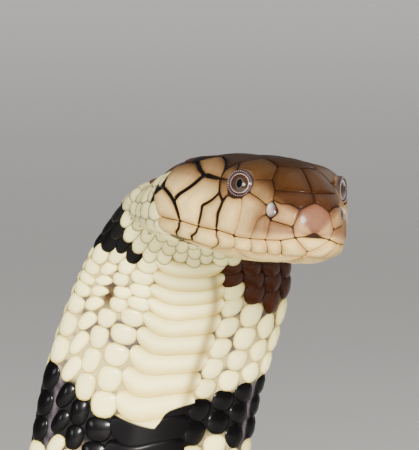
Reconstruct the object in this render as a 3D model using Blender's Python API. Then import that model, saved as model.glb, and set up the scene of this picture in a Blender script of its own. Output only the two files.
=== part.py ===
# Banded water cobra: a still, life-size model with the forebody raised and the rest in one flat coil.
# Metres, +Z up. The belly of the raised part faces -Y, and the head looks along -Y, turned towards +X.
# The origin is the middle of the footprint, on the floor.

import math

import bmesh
import bpy
import numpy as np
from mathutils import Matrix, Vector

MM = 0.001
GAP = 0.3  # mm between pieces that touch
COLLECTION = "banded_water_cobra"

# Driving sizes in mm, measured along the body from the tip of the snout.
TOTAL_LENGTH = 1550.0
HEAD_END = 48.0
SNOUT_POSITION = (-18.6, -106.0, 258.0)  # from the middle of the coil
HEAD_TURN = 19.0  # degrees from -Y towards +X
HEAD_PITCH = 5.5  # degrees, snout down
HEAD_ROLL = 5.0  # degrees, left side down

# Head profile: back from the snout, half width, crown height, lip line height, chin height, and the
# roundness of the section above the lip line, where 2 is an ellipse.
HEAD_SECTIONS = (
    (0.0, 0.0, 0.5, 0.5, 0.5, 2.25),
    (0.3, 2.4, 3.2, 0.45, -0.8, 2.25),
    (1.0, 3.9, 5.1, 0.2, -1.7, 2.25),
    (2.5, 5.4, 6.4, -0.2, -2.8, 2.25),
    (5.0, 6.9, 7.9, -0.8, -3.9, 2.25),
    (8.0, 8.1, 9.1, -1.5, -4.8, 2.25),
    (12.0, 9.4, 9.7, -2.2, -5.6, 2.25),
    (16.0, 10.8, 9.8, -2.7, -6.1, 2.25),
    (22.0, 12.5, 9.4, -2.9, -6.8, 2.4),
    (27.0, 13.5, 9.0, -3.0, -7.2, 2.5),
    (32.0, 13.9, 8.0, -3.1, -7.7, 2.45),
    (38.0, 13.7, 6.0, -3.3, -8.3, 2.2),
    (44.0, 12.9, 3.4, -3.7, -8.8, 1.9),
    (48.0, 12.4, 1.6, -4.0, -9.0, 1.8),
)
CHIN_POWER = 2.4  # roundness below the lip line

# Eyes.
EYE_BACK = 12.4
EYE_ANGLE = 51.0  # degrees round from the crown
EYE_RADIUS = 2.1
EYE_SINK = 0.9  # centre of the eye below the skin
EYE_RING_RADIUS = 2.5  # plates round the eye end here
BROW_LIFT = 0.9
BROW_TILT = 0.3  # the skin rises behind the eye and dips before it by this much a mm
BROW_REACH = 4.2

# Relief of the head's plates.
SEAM_DEPTH = 0.12
LIP_DEPTH = 0.5
PLATE_LIFT = 0.18
PLATE_CROWN = 0.28
PLATE_INSET = 0.35
SEAM_STEP = 1.7  # spacing of the points along a seam
NOSTRIL_DEPTH = 1.1

# Corners of the plates on the right half of the head: back from the snout, degrees round from the crown.
HEAD_CORNERS = {
    "rostral_top": (1.2, 0.0),
    "internasal_front": (0.9, 36.0),
    "rostral_side": (0.7, 76.0),
    "lip_middle": (0.0, 0.0),
    "lip_1": (0.5, 98.0),
    "lip_2": (1.7, 99.5),
    "lip_3": (3.5, 99.5),
    "lip_4": (6.8, 94.5),
    "lip_5": (10.4, 90.0),
    "lip_6": (14.2, 87.5),
    "lip_7": (18.3, 87.2),
    "lip_8": (23.2, 86.6),
    "lip_9": (26.6, 87.4),
    "mouth_corner": (30.5, 88.2),
    "internasal_back": (2.7, 0.0),
    "internasal_side": (5.8, 41.5),
    "nasal_inner": (2.3, 41.5),
    "nasal_top": (3.3, 50.0),
    "nostril_top": (4.7, 52.5),
    "nostril_back": (5.3, 60.5),
    "nostril_low": (3.6, 73.0),
    "nostril_front": (2.9, 62.0),
    "second_labial_top": (4.7, 68.0),
    "second_labial_back": (6.2, 76.0),
    "prefrontal_back": (8.9, 0.0),
    "prefrontal_side": (8.1, 33.5),
    "supraocular_front": (10.5, 17.8),
    "frontal_side": (17.0, 14.0),
    "frontal_tip": (18.8, 0.0),
    "supraocular_back": (18.6, 30.0),
    "postocular_top": (20.0, 38.5),
    "postocular_back": (18.2, 50.5),
    "postocular_low": (16.2, 63.0),
    "fourth_labial_top": (13.1, 66.5),
    "fourth_labial_back": (14.5, 76.0),
    "fifth_labial_back": (18.7, 73.0),
    "temporal_low": (21.7, 50.0),
    "temporal_back": (24.4, 46.5),
    "temporal_crown": (31.0, 35.5),
    "parietal_side": (25.0, 28.5),
    "parietal_back": (32.0, 21.0),
    "parietal_mid": (32.2, 8.0),
    "parietal_seam": (31.0, 0.0),
    "cheek_seam": (24.6, 66.0),
    "cheek_low": (26.4, 79.0),
    "rear_temporal_top": (33.5, 38.0),
    "rear_temporal_corner": (35.5, 50.0),
    "rear_temporal_back": (34.6, 64.0),
    "last_labial_top": (33.0, 71.0),
    "last_labial_back": (35.0, 78.5),
    "mental_tip": (1.8, 180.0),
    "first_lower_tip": (3.3, 180.0),
    "lower_1": (3.9, 150.0),
    "lower_2": (4.4, 127.0),
    "lower_3": (7.0, 116.0),
    "lower_4": (11.2, 114.0),
    "lower_5": (15.0, 108.5),
    "lower_6": (19.2, 114.0),
    "lower_6_back": (20.4, 101.5),
    "lower_7": (23.6, 110.5),
    "lower_7_back": (24.9, 99.5),
    "lower_8": (28.8, 108.0),
    "lower_8_back": (31.6, 95.5),
    "chin_front_side": (12.3, 148.0),
    "chin_front_mid": (11.6, 180.0),
    "chin_back_side": (19.6, 133.0),
    "chin_back_corner": (21.0, 158.0),
    "chin_back_mid": (20.0, 180.0),
}
# Corners on the ring round the eye, in degrees: 0 is to the back, 90 to the crown, 180 to the front.
EYE_CORNERS = {
    "eye_back": 0.0,
    "eye_top_back": 45.0,
    "eye_top_front": 140.0,
    "eye_front": 195.0,
    "eye_low_front": 228.0,
    "eye_low_back": 296.0,
}
LIP_LINE = ("lip_middle", "lip_1", "lip_2", "lip_3", "lip_4", "lip_5", "lip_6", "lip_7", "lip_8", "lip_9",
            "mouth_corner")
MIDLINE = ("rostral_top", "lip_middle", "internasal_back", "prefrontal_back", "frontal_tip", "parietal_seam",
           "mental_tip", "first_lower_tip", "chin_front_mid", "chin_back_mid")

# Plates of the right half, by their corners. The left half mirrors them.
SIDE_PLATES = {
    "internasal": "rostral_top internasal_front nasal_inner nasal_top nostril_top internasal_side "
                  "internasal_back",
    "prenasal": "internasal_front rostral_side nostril_low nostril_front nostril_top nasal_top nasal_inner",
    "prefrontal": "internasal_back internasal_side prefrontal_side supraocular_front prefrontal_back",
    "preocular": "prefrontal_side internasal_side nostril_top nostril_back eye_front eye_top_front",
    "supraocular": "supraocular_front prefrontal_side eye_top_front eye_top_back supraocular_back "
                   "frontal_side",
    "upper_postocular": "eye_top_back eye_back postocular_back postocular_top supraocular_back",
    "lower_postocular": "eye_back eye_low_back fourth_labial_top postocular_low postocular_back",
    "parietal": "frontal_tip frontal_side supraocular_back postocular_top parietal_side temporal_crown "
                "parietal_back parietal_mid parietal_seam",
    "temporal": "postocular_top postocular_back temporal_low temporal_back temporal_crown parietal_side",
    "rear_temporal": "temporal_low cheek_seam cheek_low last_labial_top rear_temporal_back "
                     "rear_temporal_corner rear_temporal_top temporal_crown temporal_back",
    "upper_labial_1": "rostral_side lip_1 lip_2 lip_3 nostril_low",
    "upper_labial_2": "nostril_low lip_3 lip_4 second_labial_back second_labial_top",
    "upper_labial_3": "nostril_back second_labial_top second_labial_back lip_4 lip_5 eye_low_front "
                      "eye_front",
    "upper_labial_4": "eye_low_front lip_5 lip_6 fourth_labial_back fourth_labial_top eye_low_back",
    "upper_labial_5": "fourth_labial_top fourth_labial_back lip_6 lip_7 fifth_labial_back postocular_low",
    "upper_labial_6": "postocular_back postocular_low fifth_labial_back lip_7 lip_8 cheek_low cheek_seam "
                      "temporal_low",
    "upper_labial_7": "cheek_low lip_8 lip_9 mouth_corner last_labial_back last_labial_top",
    "lower_labial_1": "lip_1 mental_tip first_lower_tip lower_1 lip_2",
    "lower_labial_2": "lip_2 lower_1 lower_2 lip_3",
    "lower_labial_3": "lip_3 lower_2 lower_3 lip_4",
    "lower_labial_4": "lip_4 lower_3 lower_4 lip_5",
    "lower_labial_5": "lip_5 lower_4 lower_5 lip_6",
    "lower_labial_6": "lip_6 lower_5 lower_6 lower_6_back lip_7",
    "lower_labial_7": "lip_7 lower_6_back lower_6 lower_7 lower_7_back lip_8",
    "lower_labial_8": "lip_8 lower_7_back lower_7 lower_8 lower_8_back mouth_corner lip_9",
    "front_chin_shield": "first_lower_tip chin_front_mid chin_front_side lower_4 lower_3 lower_2 lower_1",
    "back_chin_shield": "chin_front_mid chin_back_mid chin_back_corner chin_back_side lower_6 lower_5 "
                        "lower_4 chin_front_side",
}
SIDE_HOLLOWS = {
    "nostril": "nostril_top nostril_front nostril_low second_labial_top nostril_back",
    "eye": "eye_back eye_top_back eye_top_front eye_front eye_low_front eye_low_back",
}
# Plates that cross the midline, by their right half from one end to the other.
MIDDLE_PLATES = {
    "rostral": "rostral_top internasal_front rostral_side lip_1 lip_middle",
    "frontal": "prefrontal_back supraocular_front frontal_side frontal_tip",
    "mental": "lip_middle lip_1 mental_tip",
}
# Where the plates end and the small scales of the neck begin, from the crown round to the throat.
PLATE_BORDER = ("parietal_seam parietal_mid parietal_back temporal_crown rear_temporal_top "
                "rear_temporal_corner rear_temporal_back last_labial_top last_labial_back mouth_corner "
                "lower_8_back lower_8 lower_7 lower_6 chin_back_side chin_back_corner chin_back_mid")

# Body profile: along the body, half width, height above and depth below the centre line.
BODY_SECTIONS = (
    (48.0, 12.4, 5.6, 5.0),
    (53.0, 11.9, 5.2, 5.4),
    (57.0, 12.2, 5.2, 5.8),
    (60.5, 15.6, 5.7, 6.2),
    (66.0, 17.9, 6.5, 6.9),
    (74.0, 18.1, 7.0, 7.4),
    (95.0, 18.4, 7.3, 8.0),
    (120.0, 17.8, 8.0, 8.7),
    (150.0, 15.8, 9.8, 10.0),
    (190.0, 14.6, 11.6, 11.2),
    (240.0, 15.0, 13.0, 12.0),
    (330.0, 16.2, 14.5, 13.0),
    (450.0, 18.2, 16.5, 14.2),
    (620.0, 19.2, 17.5, 15.0),
    (850.0, 19.2, 17.5, 15.0),
    (1050.0, 17.6, 16.0, 13.8),
    (1180.0, 15.0, 13.6, 12.0),
    (1225.0, 13.2, 12.0, 10.7),
    (1300.0, 11.0, 10.0, 9.2),
    (1400.0, 8.0, 7.4, 6.9),
    (1500.0, 4.2, 4.0, 3.9),
    (1540.0, 1.7, 1.7, 1.7),
    (1550.0, 0.7, 0.8, 0.8),
)
# Roundness of the body's sections: along the body, above and below the widest line.
BODY_POWERS = (
    (48.0, 1.8, 2.4),
    (64.0, 1.9, 1.85),
    (95.0, 1.8, 1.7),
    (150.0, 1.95, 1.95),
    (240.0, 2.1, 2.3),
    (450.0, 2.15, 2.6),
    (1225.0, 2.1, 2.5),
    (1550.0, 2.0, 2.1),
)
# The windpipe's low swelling down the middle of the throat: along the body, height.
THROAT_SWELL = (
    (48.0, 0.0),
    (66.0, 1.2),
    (90.0, 1.6),
    (130.0, 0.9),
    (170.0, 0.0),
    (TOTAL_LENGTH, 0.0),
)
THROAT_HALF_WIDTH = 6.5
# Centre line of the raised part from the head down, measured from the middle of the coil, with the way
# that the belly faces there.
RAISED_POINTS = (
    ((-36.6, -53.4, 256.2), (-0.1, -0.55, -0.85)),
    ((-37.0, -48.4, 251.8), (0.12, -0.85, -0.5)),
    ((-37.3, -44.8, 246.3), (0.23, -0.95, -0.3)),
    ((-39.9, -41.9, 238.9), (0.25, -0.97, -0.2)),
    ((-42.7, -40.7, 230.4), (0.25, -0.98, -0.1)),
    ((-45.1, -40.2, 218.5), (0.22, -0.98, 0.0)),
    ((-53.0, -41.0, 180.0), (0.12, -1.0, 0.0)),
    ((-61.0, -44.0, 135.0), (0.06, -1.0, 0.0)),
    ((-67.0, -46.0, 95.0), (0.0, -1.0, -0.05)),
    ((-71.0, -42.0, 62.0), (0.0, -0.9, -0.35)),
    ((-74.0, -26.0, 35.0), (0.0, -0.65, -0.75)),
    ((-77.0, -4.0, 19.5), (0.0, -0.25, -0.97)),
)
# Coil on the floor.
COIL_CENTRE = (-7.92, -10.55)  # from the middle of the footprint
COIL_START = 165.0  # degrees
COIL_RADIUS = 78.0
COIL_PITCH = 53.0
COIL_STRETCH = (1.05, 1.0)
COIL_TURN_STEP = 15.0  # degrees between the points of the centre line
FLOOR_PRESS = 0.1  # share of the depth below the centre line by which the belly is pressed flat
FLOOR_START = 350.0  # along the body, where it comes down to the floor
FLOOR_BLEND = 70.0

# Belly plates of the raised part.
SCUTE_LIFT = 0.4
SCUTE_STEP = 0.3  # length of the step behind each plate
SCUTE_SHARE = 0.4  # half width of a plate, as a share of the body's half width

# Lengths of the body, as node name, end, sides of a section, and spacing of its sections.
LENGTHS = (
    ("neck", 68.0, 26, 3.0),
    ("hood", 146.0, 26, 4.1),
    ("forebody_upper", 215.0, 24, 5.4),
    ("forebody_lower", 300.0, 24, 6.6),
    ("body_1", 400.0, 20, 12.5),
    ("body_2", 500.0, 20, 12.5),
    ("body_3", 610.0, 20, 12.5),
    ("body_4", 720.0, 20, 12.5),
    ("body_5", 840.0, 20, 13.0),
    ("body_6", 960.0, 20, 13.0),
    ("body_7", 1090.0, 20, 13.0),
    ("body_8", 1225.0, 20, 14.0),
    ("tail_base", 1370.0, 18, 14.0),
    ("tail_tip", 1550.0, 14, 15.0),
)
SCUTED_LENGTHS = ("neck", "hood", "forebody_upper", "forebody_lower")

# Colour and roughness of each kind of surface.
FINISHES = {
    "crown": ((0.20, 0.085, 0.035), 0.3),
    "cream": ((0.74, 0.60, 0.36), 0.4),
    "brown": ((0.22, 0.11, 0.045), 0.35),
    "eye": ((0.09, 0.04, 0.02), 0.08),
}


def monotone_curve(rows, column):
    """Smooth curve through one column of a table against its first column, with no overshoot."""
    x = np.array([row[0] for row in rows])
    y = np.array([row[column] for row in rows])
    slopes = np.diff(y) / np.diff(x)
    tangents = np.zeros(len(x))
    tangents[0] = slopes[0]
    tangents[-1] = slopes[-1]
    for i in range(1, len(x) - 1):
        if slopes[i - 1] * slopes[i] > 0.0:
            tangents[i] = 2.0 * slopes[i - 1] * slopes[i] / (slopes[i - 1] + slopes[i])

    def evaluate(at):
        at = min(max(at, x[0]), x[-1])
        i = min(int(np.searchsorted(x, at, side="right")) - 1, len(x) - 2)
        step = x[i + 1] - x[i]
        t = (at - x[i]) / step
        keep = (1.0 + 2.0 * t) * (1.0 - t) ** 2
        rise = t * (1.0 - t) ** 2
        fall = t * t * (t - 1.0)
        return keep * y[i] + (1.0 - keep) * y[i + 1] + step * (rise * tangents[i] + fall * tangents[i + 1])

    return evaluate


def oval_point(angle, half_width, above, below, power_above, power_below):
    """Point of a closed section: angle 0 at the top, pi/2 at the right edge; returns right and up."""
    across = math.sin(angle)
    upright = math.cos(angle)
    power = power_above if upright >= 0.0 else power_below
    reach = above if upright >= 0.0 else below
    right = math.copysign(abs(across) ** (2.0 / power), across) * half_width
    up = math.copysign(abs(upright) ** (2.0 / power), upright) * reach
    return right, up


# The head's sections are interpolated against the root of the distance, so that the snout is round.
ROOT_SECTIONS = [(math.sqrt(row[0]),) + row[1:] for row in HEAD_SECTIONS]
HEAD_CURVES = [monotone_curve(ROOT_SECTIONS, column) for column in range(1, 6)]


def chart_position(back, degrees):
    """Flat map of the head: the snout's tip in the middle, the crown up and the right side to the right."""
    root = math.sqrt(back)
    turn = math.radians(degrees)
    return Vector((root * math.sin(turn), root * math.cos(turn)))


def plain_head_point(place):
    """Point of the head without the brows, in the head's frame: x forward, y left, z up."""
    root = place.length
    half_width, crown, lip, chin, power = (curve(root) for curve in HEAD_CURVES)
    angle = math.atan2(place.x, place.y)
    right, up = oval_point(angle, half_width, crown - lip, lip - chin, power, CHIN_POWER)
    return Vector((-root * root, -right, lip + up))


EYE_PLACE = chart_position(EYE_BACK, EYE_ANGLE)
EYE_SURFACE = plain_head_point(EYE_PLACE)


def surface_normal(surface, place, step=0.02):
    """Outward normal of a surface that is a function of a place on the head's map."""
    east = surface(place + Vector((step, 0.0))) - surface(place - Vector((step, 0.0)))
    north = surface(place + Vector((0.0, step))) - surface(place - Vector((0.0, step)))
    return east.cross(north).normalized() * -1.0


def head_point(place):
    """Point of the head's skin, swollen round each eye so that the eyes look partly forward."""
    point = plain_head_point(place)
    mirrored = Vector((point.x, -abs(point.y), point.z))
    distance = (mirrored - EYE_SURFACE).length
    if distance > 3.0 * BROW_REACH:
        return point
    ahead = mirrored.x - EYE_SURFACE.x
    lift = (BROW_LIFT - BROW_TILT * ahead) * math.exp(-(distance / BROW_REACH) ** 2)
    return point + surface_normal(plain_head_point, place) * lift


def eye_ring_place(degrees):
    """Place on the map of a point of the ring round the right eye."""
    step = 0.02
    back_way = EYE_PLACE.normalized()
    round_way = Vector((back_way.y, -back_way.x))
    back_run = (plain_head_point(EYE_PLACE + back_way * step) - EYE_SURFACE) / step
    round_run = (plain_head_point(EYE_PLACE + round_way * step) - EYE_SURFACE) / step
    back_unit = back_run.normalized()
    up_unit = (-round_run + back_unit * round_run.dot(back_unit)).normalized()
    turn = math.radians(degrees)
    wanted = (back_unit * math.cos(turn) + up_unit * math.sin(turn)) * EYE_RING_RADIUS
    round_share = wanted.dot(up_unit) / round_run.dot(up_unit)
    back_share = (wanted - round_run * round_share).dot(back_unit) / back_run.length
    return EYE_PLACE + back_way * back_share + round_way * round_share


def corner_places():
    """Places on the map of every corner of the right half."""
    places = {name: chart_position(*spot) for name, spot in HEAD_CORNERS.items()}
    places.update({name: eye_ring_place(turn) for name, turn in EYE_CORNERS.items()})
    return places


class HeadBuilder:
    """Builds the head as plates that share their seams, both halves, in the head's frame."""

    def __init__(self):
        self.mesh = bmesh.new()
        self.places = corner_places()
        self.corner_vertices = {}
        self.seam_vertices = {}
        self.vertex_places = {}

    def add_vertex(self, place, lift):
        point = head_point(place) + surface_normal(plain_head_point, place) * lift
        vertex = self.mesh.verts.new(point)
        self.vertex_places[vertex] = place
        return vertex

    def place_of(self, name, side):
        place = self.places[name]
        return Vector((place.x * side, place.y))

    def corner(self, name, side):
        key = (name, 1 if name in MIDLINE else side)
        if key not in self.corner_vertices:
            lift = -LIP_DEPTH if name in LIP_LINE[:-1] else -SEAM_DEPTH
            self.corner_vertices[key] = self.add_vertex(self.place_of(name, side), lift)
        return self.corner_vertices[key]

    def eye_arc(self, start, end, side, count):
        """Places between two corners of the eye's ring, along the ring and not straight across."""
        turn = (EYE_CORNERS[end] - EYE_CORNERS[start] + 180.0) % 360.0 - 180.0
        places = []
        for i in range(1, count):
            place = eye_ring_place(EYE_CORNERS[start] + turn * i / count)
            places.append(Vector((place.x * side, place.y)))
        return places

    def seam(self, start, end, side):
        """Vertices of a seam from one corner to the next, both ends included."""
        both_middle = start in MIDLINE and end in MIDLINE
        key = (start, end, 1 if both_middle else side)
        back_key = (end, start, key[2])
        if back_key in self.seam_vertices:
            return list(reversed(self.seam_vertices[back_key]))
        if key not in self.seam_vertices:
            first = self.place_of(start, side)
            last = self.place_of(end, side)
            length = (head_point(last) - head_point(first)).length
            count = max(1, round(length / SEAM_STEP))
            if start in EYE_CORNERS and end in EYE_CORNERS:
                between = self.eye_arc(start, end, side, count)
            else:
                between = [first.lerp(last, i / count) for i in range(1, count)]
            on_lip = start in LIP_LINE and end in LIP_LINE
            lift = -LIP_DEPTH if on_lip else -SEAM_DEPTH
            middle = [self.add_vertex(place, lift) for place in between]
            self.seam_vertices[key] = [self.corner(start, side)] + middle + [self.corner(end, side)]
        return self.seam_vertices[key]

    def loop(self, corners):
        """Vertices round a plate, from its corners given as (name, side) pairs."""
        loop = []
        for (start, start_side), (end, end_side) in zip(corners, corners[1:] + corners[:1]):
            side = end_side if start in MIDLINE else start_side
            loop.extend(self.seam(start, end, side)[:-1])
        return loop

    def bridge(self, outer, inner):
        for i in range(len(outer)):
            following = (i + 1) % len(outer)
            self.mesh.faces.new((outer[i], outer[following], inner[following], inner[i]))

    def fill(self, loop, rings):
        """Fills a plate with rings that close in on its middle; each ring is a share left and a lift."""
        places = [self.vertex_places[vertex] for vertex in loop]
        middle = sum(places, Vector((0.0, 0.0))) / len(places)
        middle_point = head_point(middle)
        outer = loop
        for share, lift in rings:
            inner = []
            for place in places:
                kept = share
                if share is None:
                    kept = 1.0 - PLATE_INSET / (head_point(place) - middle_point).length
                inner.append(self.add_vertex(middle.lerp(place, kept), lift))
            self.bridge(outer, inner)
            outer = inner
        centre = self.add_vertex(middle, rings[-1][1])
        for i in range(len(outer)):
            self.mesh.faces.new((outer[i], outer[(i + 1) % len(outer)], centre))

    def add_plates(self):
        plate_rings = ((None, PLATE_LIFT), (0.45, PLATE_CROWN))
        hollow_rings = {
            "nostril": ((0.75, 0.1), (0.45, -NOSTRIL_DEPTH)),
            "eye": ((0.9, PLATE_LIFT), (0.45, PLATE_LIFT)),
        }
        for side in (1, -1):
            for corners in SIDE_PLATES.values():
                self.fill(self.loop([(name, side) for name in corners.split()]), plate_rings)
            for name, corners in SIDE_HOLLOWS.items():
                self.fill(self.loop([(corner, side) for corner in corners.split()]), hollow_rings[name])
        for corners in MIDDLE_PLATES.values():
            names = corners.split()
            right = [(name, 1) for name in names]
            left = [(name, -1) for name in reversed(names[1:-1])]
            self.fill(self.loop(right + left), plate_rings)

    def add_rear(self):
        """Smooth skin from the last plates back to the neck, closed by a flat end."""
        names = PLATE_BORDER.split()
        border = []
        for start, end in zip(names, names[1:]):
            border.extend(self.seam(start, end, 1)[:-1])
        for start, end in zip(reversed(names), list(reversed(names))[1:]):
            border.extend(self.seam(start, end, -1)[:-1])
        end_root = math.sqrt(HEAD_END)
        outer = border
        for share, lift in ((0.12, PLATE_LIFT), (0.5, PLATE_LIFT), (1.0, 0.0)):
            inner = []
            for vertex in border:
                place = self.vertex_places[vertex]
                root = place.length + (end_root - place.length) * share
                inner.append(self.add_vertex(place.normalized() * root, lift))
            self.bridge(outer, inner)
            outer = inner
        for vertex in outer:
            vertex.co.x = -HEAD_END
        bottom = self.mesh.faces.new(outer)
        bmesh.ops.triangulate(self.mesh, faces=[bottom])

    def finish(self):
        self.add_plates()
        self.add_rear()
        bmesh.ops.recalc_face_normals(self.mesh, faces=self.mesh.faces)
        return self.mesh


def head_matrix():
    """The head's place in the world: x forward, y left, z up from the tip of the snout, in mm."""
    turn = math.radians(HEAD_TURN)
    pitch = math.radians(HEAD_PITCH)
    roll = math.radians(HEAD_ROLL)
    forward = Vector((math.sin(turn) * math.cos(pitch), -math.cos(turn) * math.cos(pitch), -math.sin(pitch)))
    level_left = Vector((math.cos(turn), math.sin(turn), 0.0))
    level_up = forward.cross(level_left)
    left = level_left * math.cos(roll) - level_up * math.sin(roll)
    up = level_up * math.cos(roll) + level_left * math.sin(roll)
    rotation = Matrix((forward, left, up)).transposed().to_4x4()
    return Matrix.Translation(Vector(SNOUT_POSITION) + Vector(COIL_CENTRE).to_3d()) @ rotation


class SmoothPath:
    """Natural cubic curve through points, with a given direction at its start, run by length."""

    def __init__(self, points, start_direction, bellies):
        points = np.array(points)
        knots = np.concatenate(([0.0], np.cumsum(np.linalg.norm(np.diff(points, axis=0), axis=1))))
        count = len(points)
        steps = np.diff(knots)
        matrix = np.zeros((count, count))
        right = np.zeros((count, 3))
        matrix[0, 0] = 1.0
        right[0] = start_direction
        for i in range(1, count - 1):
            matrix[i, i - 1] = steps[i]
            matrix[i, i] = 2.0 * (steps[i - 1] + steps[i])
            matrix[i, i + 1] = steps[i - 1]
            before = (points[i] - points[i - 1]) / steps[i - 1]
            after = (points[i + 1] - points[i]) / steps[i]
            right[i] = 3.0 * (steps[i] * before + steps[i - 1] * after)
        matrix[-1, -1] = 2.0
        matrix[-1, -2] = 1.0
        right[-1] = 3.0 * (points[-1] - points[-2]) / steps[-1]
        self.knots = knots
        self.points = points
        self.slopes = np.linalg.solve(matrix, right)
        self.bellies = np.array(bellies)
        fine = np.linspace(0.0, knots[-1], 4000)
        spots = np.array([self.at_knot(value)[0] for value in fine])
        runs = np.linalg.norm(np.diff(spots, axis=0), axis=1)
        self.fine_knots = fine
        self.fine_lengths = np.concatenate(([0.0], np.cumsum(runs)))

    def at_knot(self, value):
        i = min(max(int(np.searchsorted(self.knots, value, side="right")) - 1, 0), len(self.knots) - 2)
        step = self.knots[i + 1] - self.knots[i]
        t = (value - self.knots[i]) / step
        first, last = self.points[i], self.points[i + 1]
        leave, reach = self.slopes[i] * step, self.slopes[i + 1] * step
        spot = ((2 * t ** 3 - 3 * t ** 2 + 1) * first + (t ** 3 - 2 * t ** 2 + t) * leave
                + (3 * t ** 2 - 2 * t ** 3) * last + (t ** 3 - t ** 2) * reach)
        run = ((6 * t ** 2 - 6 * t) * first + (3 * t ** 2 - 4 * t + 1) * leave
               + (6 * t - 6 * t ** 2) * last + (3 * t ** 2 - 2 * t) * reach)
        belly = self.bellies[i] * (1.0 - t) + self.bellies[i + 1] * t
        return spot, run, belly

    def frame(self, along):
        """Centre, direction towards the tail, right and dorsal directions, at a length from the snout."""
        value = float(np.interp(along - HEAD_END, self.fine_lengths, self.fine_knots))
        spot, run, belly = self.at_knot(value)
        tail_way = Vector(run).normalized()
        belly = Vector(belly)
        dorsal = (tail_way * belly.dot(tail_way) - belly).normalized()
        right = dorsal.cross(tail_way)
        return Vector(spot), tail_way, right, dorsal


BODY_CURVES = [monotone_curve(BODY_SECTIONS, column) for column in range(1, 4)]
POWER_CURVES = [monotone_curve(BODY_POWERS, column) for column in range(1, 3)]
THROAT_CURVE = monotone_curve(THROAT_SWELL, 1)


def body_path():
    """Centre line from the back of the head down the raised part and round the coil to the tail."""
    place = head_matrix()
    lip = HEAD_SECTIONS[-1][3]
    start = place @ Vector((-HEAD_END, 0.0, lip))
    back_way = place.to_3x3() @ Vector((-1.0, 0.0, 0.0))
    points = [tuple(start)]
    bellies = [tuple(place.to_3x3() @ Vector((0.0, 0.0, -1.0)))]
    for spot, belly in RAISED_POINTS:
        points.append(tuple(Vector(spot) + Vector(COIL_CENTRE).to_3d()))
        bellies.append(belly)
    length = sum(math.dist(a, b) for a, b in zip(points, points[1:])) + HEAD_END
    turn = 0.0
    while length < TOTAL_LENGTH + COIL_PITCH:
        degrees = COIL_START - turn
        radius = COIL_RADIUS + COIL_PITCH * turn / 360.0
        x = COIL_CENTRE[0] + radius * COIL_STRETCH[0] * math.cos(math.radians(degrees))
        y = COIL_CENTRE[1] + radius * COIL_STRETCH[1] * math.sin(math.radians(degrees))
        depth = BODY_CURVES[2](length)
        length += math.dist(points[-1][:2], (x, y))
        points.append((x, y, depth * (1.0 - FLOOR_PRESS)))
        bellies.append((0.0, 0.0, -1.0))
        turn += COIL_TURN_STEP
    return SmoothPath(points, tuple(back_way), bellies)


def body_ring(path, along, sides, scute_lift, shift=0.0):
    """Points of the body's section at a length from the snout, pressed flat where it meets the floor."""
    centre, tail_way, right_way, dorsal = path.frame(along)
    half_width, above, below = (curve(along) for curve in BODY_CURVES)
    power_above, power_below = (curve(along) for curve in POWER_CURVES)
    rest = min(max((along - FLOOR_START) / FLOOR_BLEND, 0.0), 1.0)
    centre.z += (below * (1.0 - FLOOR_PRESS) - centre.z) * rest
    ring = []
    for i in range(sides):
        angle = 2.0 * math.pi * i / sides
        right, up = oval_point(angle, half_width, above, below, power_above, power_below)
        if up < 0.0:
            up -= THROAT_CURVE(along) * math.exp(-(right / THROAT_HALF_WIDTH) ** 4)
            if abs(right) < SCUTE_SHARE * half_width:
                up -= scute_lift
        point = centre + tail_way * shift + right_way * right + dorsal * up
        point.z = max(point.z, 0.0)
        ring.append(point)
    return ring


def loft(rings):
    """Closed body through rings of equal count, with flat ends, as triangles."""
    mesh = bmesh.new()
    rows = [[mesh.verts.new(point * MM) for point in ring] for ring in rings]
    for first, second in zip(rows, rows[1:]):
        for i in range(len(first)):
            following = (i + 1) % len(first)
            mesh.faces.new((first[i], first[following], second[following], second[i]))
    ends = [mesh.faces.new(rows[0]), mesh.faces.new(rows[-1])]
    bmesh.ops.triangulate(mesh, faces=ends)
    bmesh.ops.triangulate(mesh, faces=mesh.faces[:])
    bmesh.ops.recalc_face_normals(mesh, faces=mesh.faces)
    return mesh


def length_rings(path, name, start, end, sides, spacing):
    """Rings of one length of the body, with a step behind each belly plate on the raised part."""
    count = max(2, round((end - start) / spacing))
    rings = []
    scuted = name in SCUTED_LENGTHS
    for i in range(count):
        front = start + (end - start) * i / count
        back = start + (end - start) * (i + 1) / count
        rings.append(body_ring(path, front, sides, 0.0, GAP / 2 if i == 0 else 0.0))
        if scuted and i < count - 1:
            rings.append(body_ring(path, back - SCUTE_STEP, sides, SCUTE_LIFT))
    rings.append(body_ring(path, end, sides, 0.0, 0.0 if end == TOTAL_LENGTH else -GAP / 2))
    return rings


def make_material(name, finish):
    colour, roughness = FINISHES[finish]
    material = bpy.data.materials.new(name)
    material.use_nodes = True
    shader = material.node_tree.nodes["Principled BSDF"]
    shader.inputs["Base Color"].default_value = colour + (1.0,)
    shader.inputs["Roughness"].default_value = roughness
    shader.inputs["Metallic"].default_value = 0.0
    return material


def add_object(collection, name, mesh, finish):
    data = bpy.data.meshes.new(name)
    mesh.to_mesh(data)
    mesh.free()
    data.materials.append(make_material(name, finish))
    data.shade_smooth()
    data.set_sharp_from_angle(angle=math.radians(40.0))
    piece = bpy.data.objects.new(name, data)
    collection.objects.link(piece)
    return piece


def eye_centre(side):
    """Middle of an eye in the head's frame; side is 1 for the right eye and -1 for the left."""
    surface = head_point(EYE_PLACE)
    centre = surface - surface_normal(plain_head_point, EYE_PLACE) * EYE_SINK
    return Vector((centre.x, centre.y * side, centre.z))


def sphere(radius, centre, segments, rings):
    mesh = bmesh.new()
    bmesh.ops.create_uvsphere(mesh, u_segments=segments, v_segments=rings, radius=radius)
    bmesh.ops.triangulate(mesh, faces=mesh.faces[:])
    bmesh.ops.translate(mesh, verts=mesh.verts, vec=centre)
    return mesh


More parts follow.
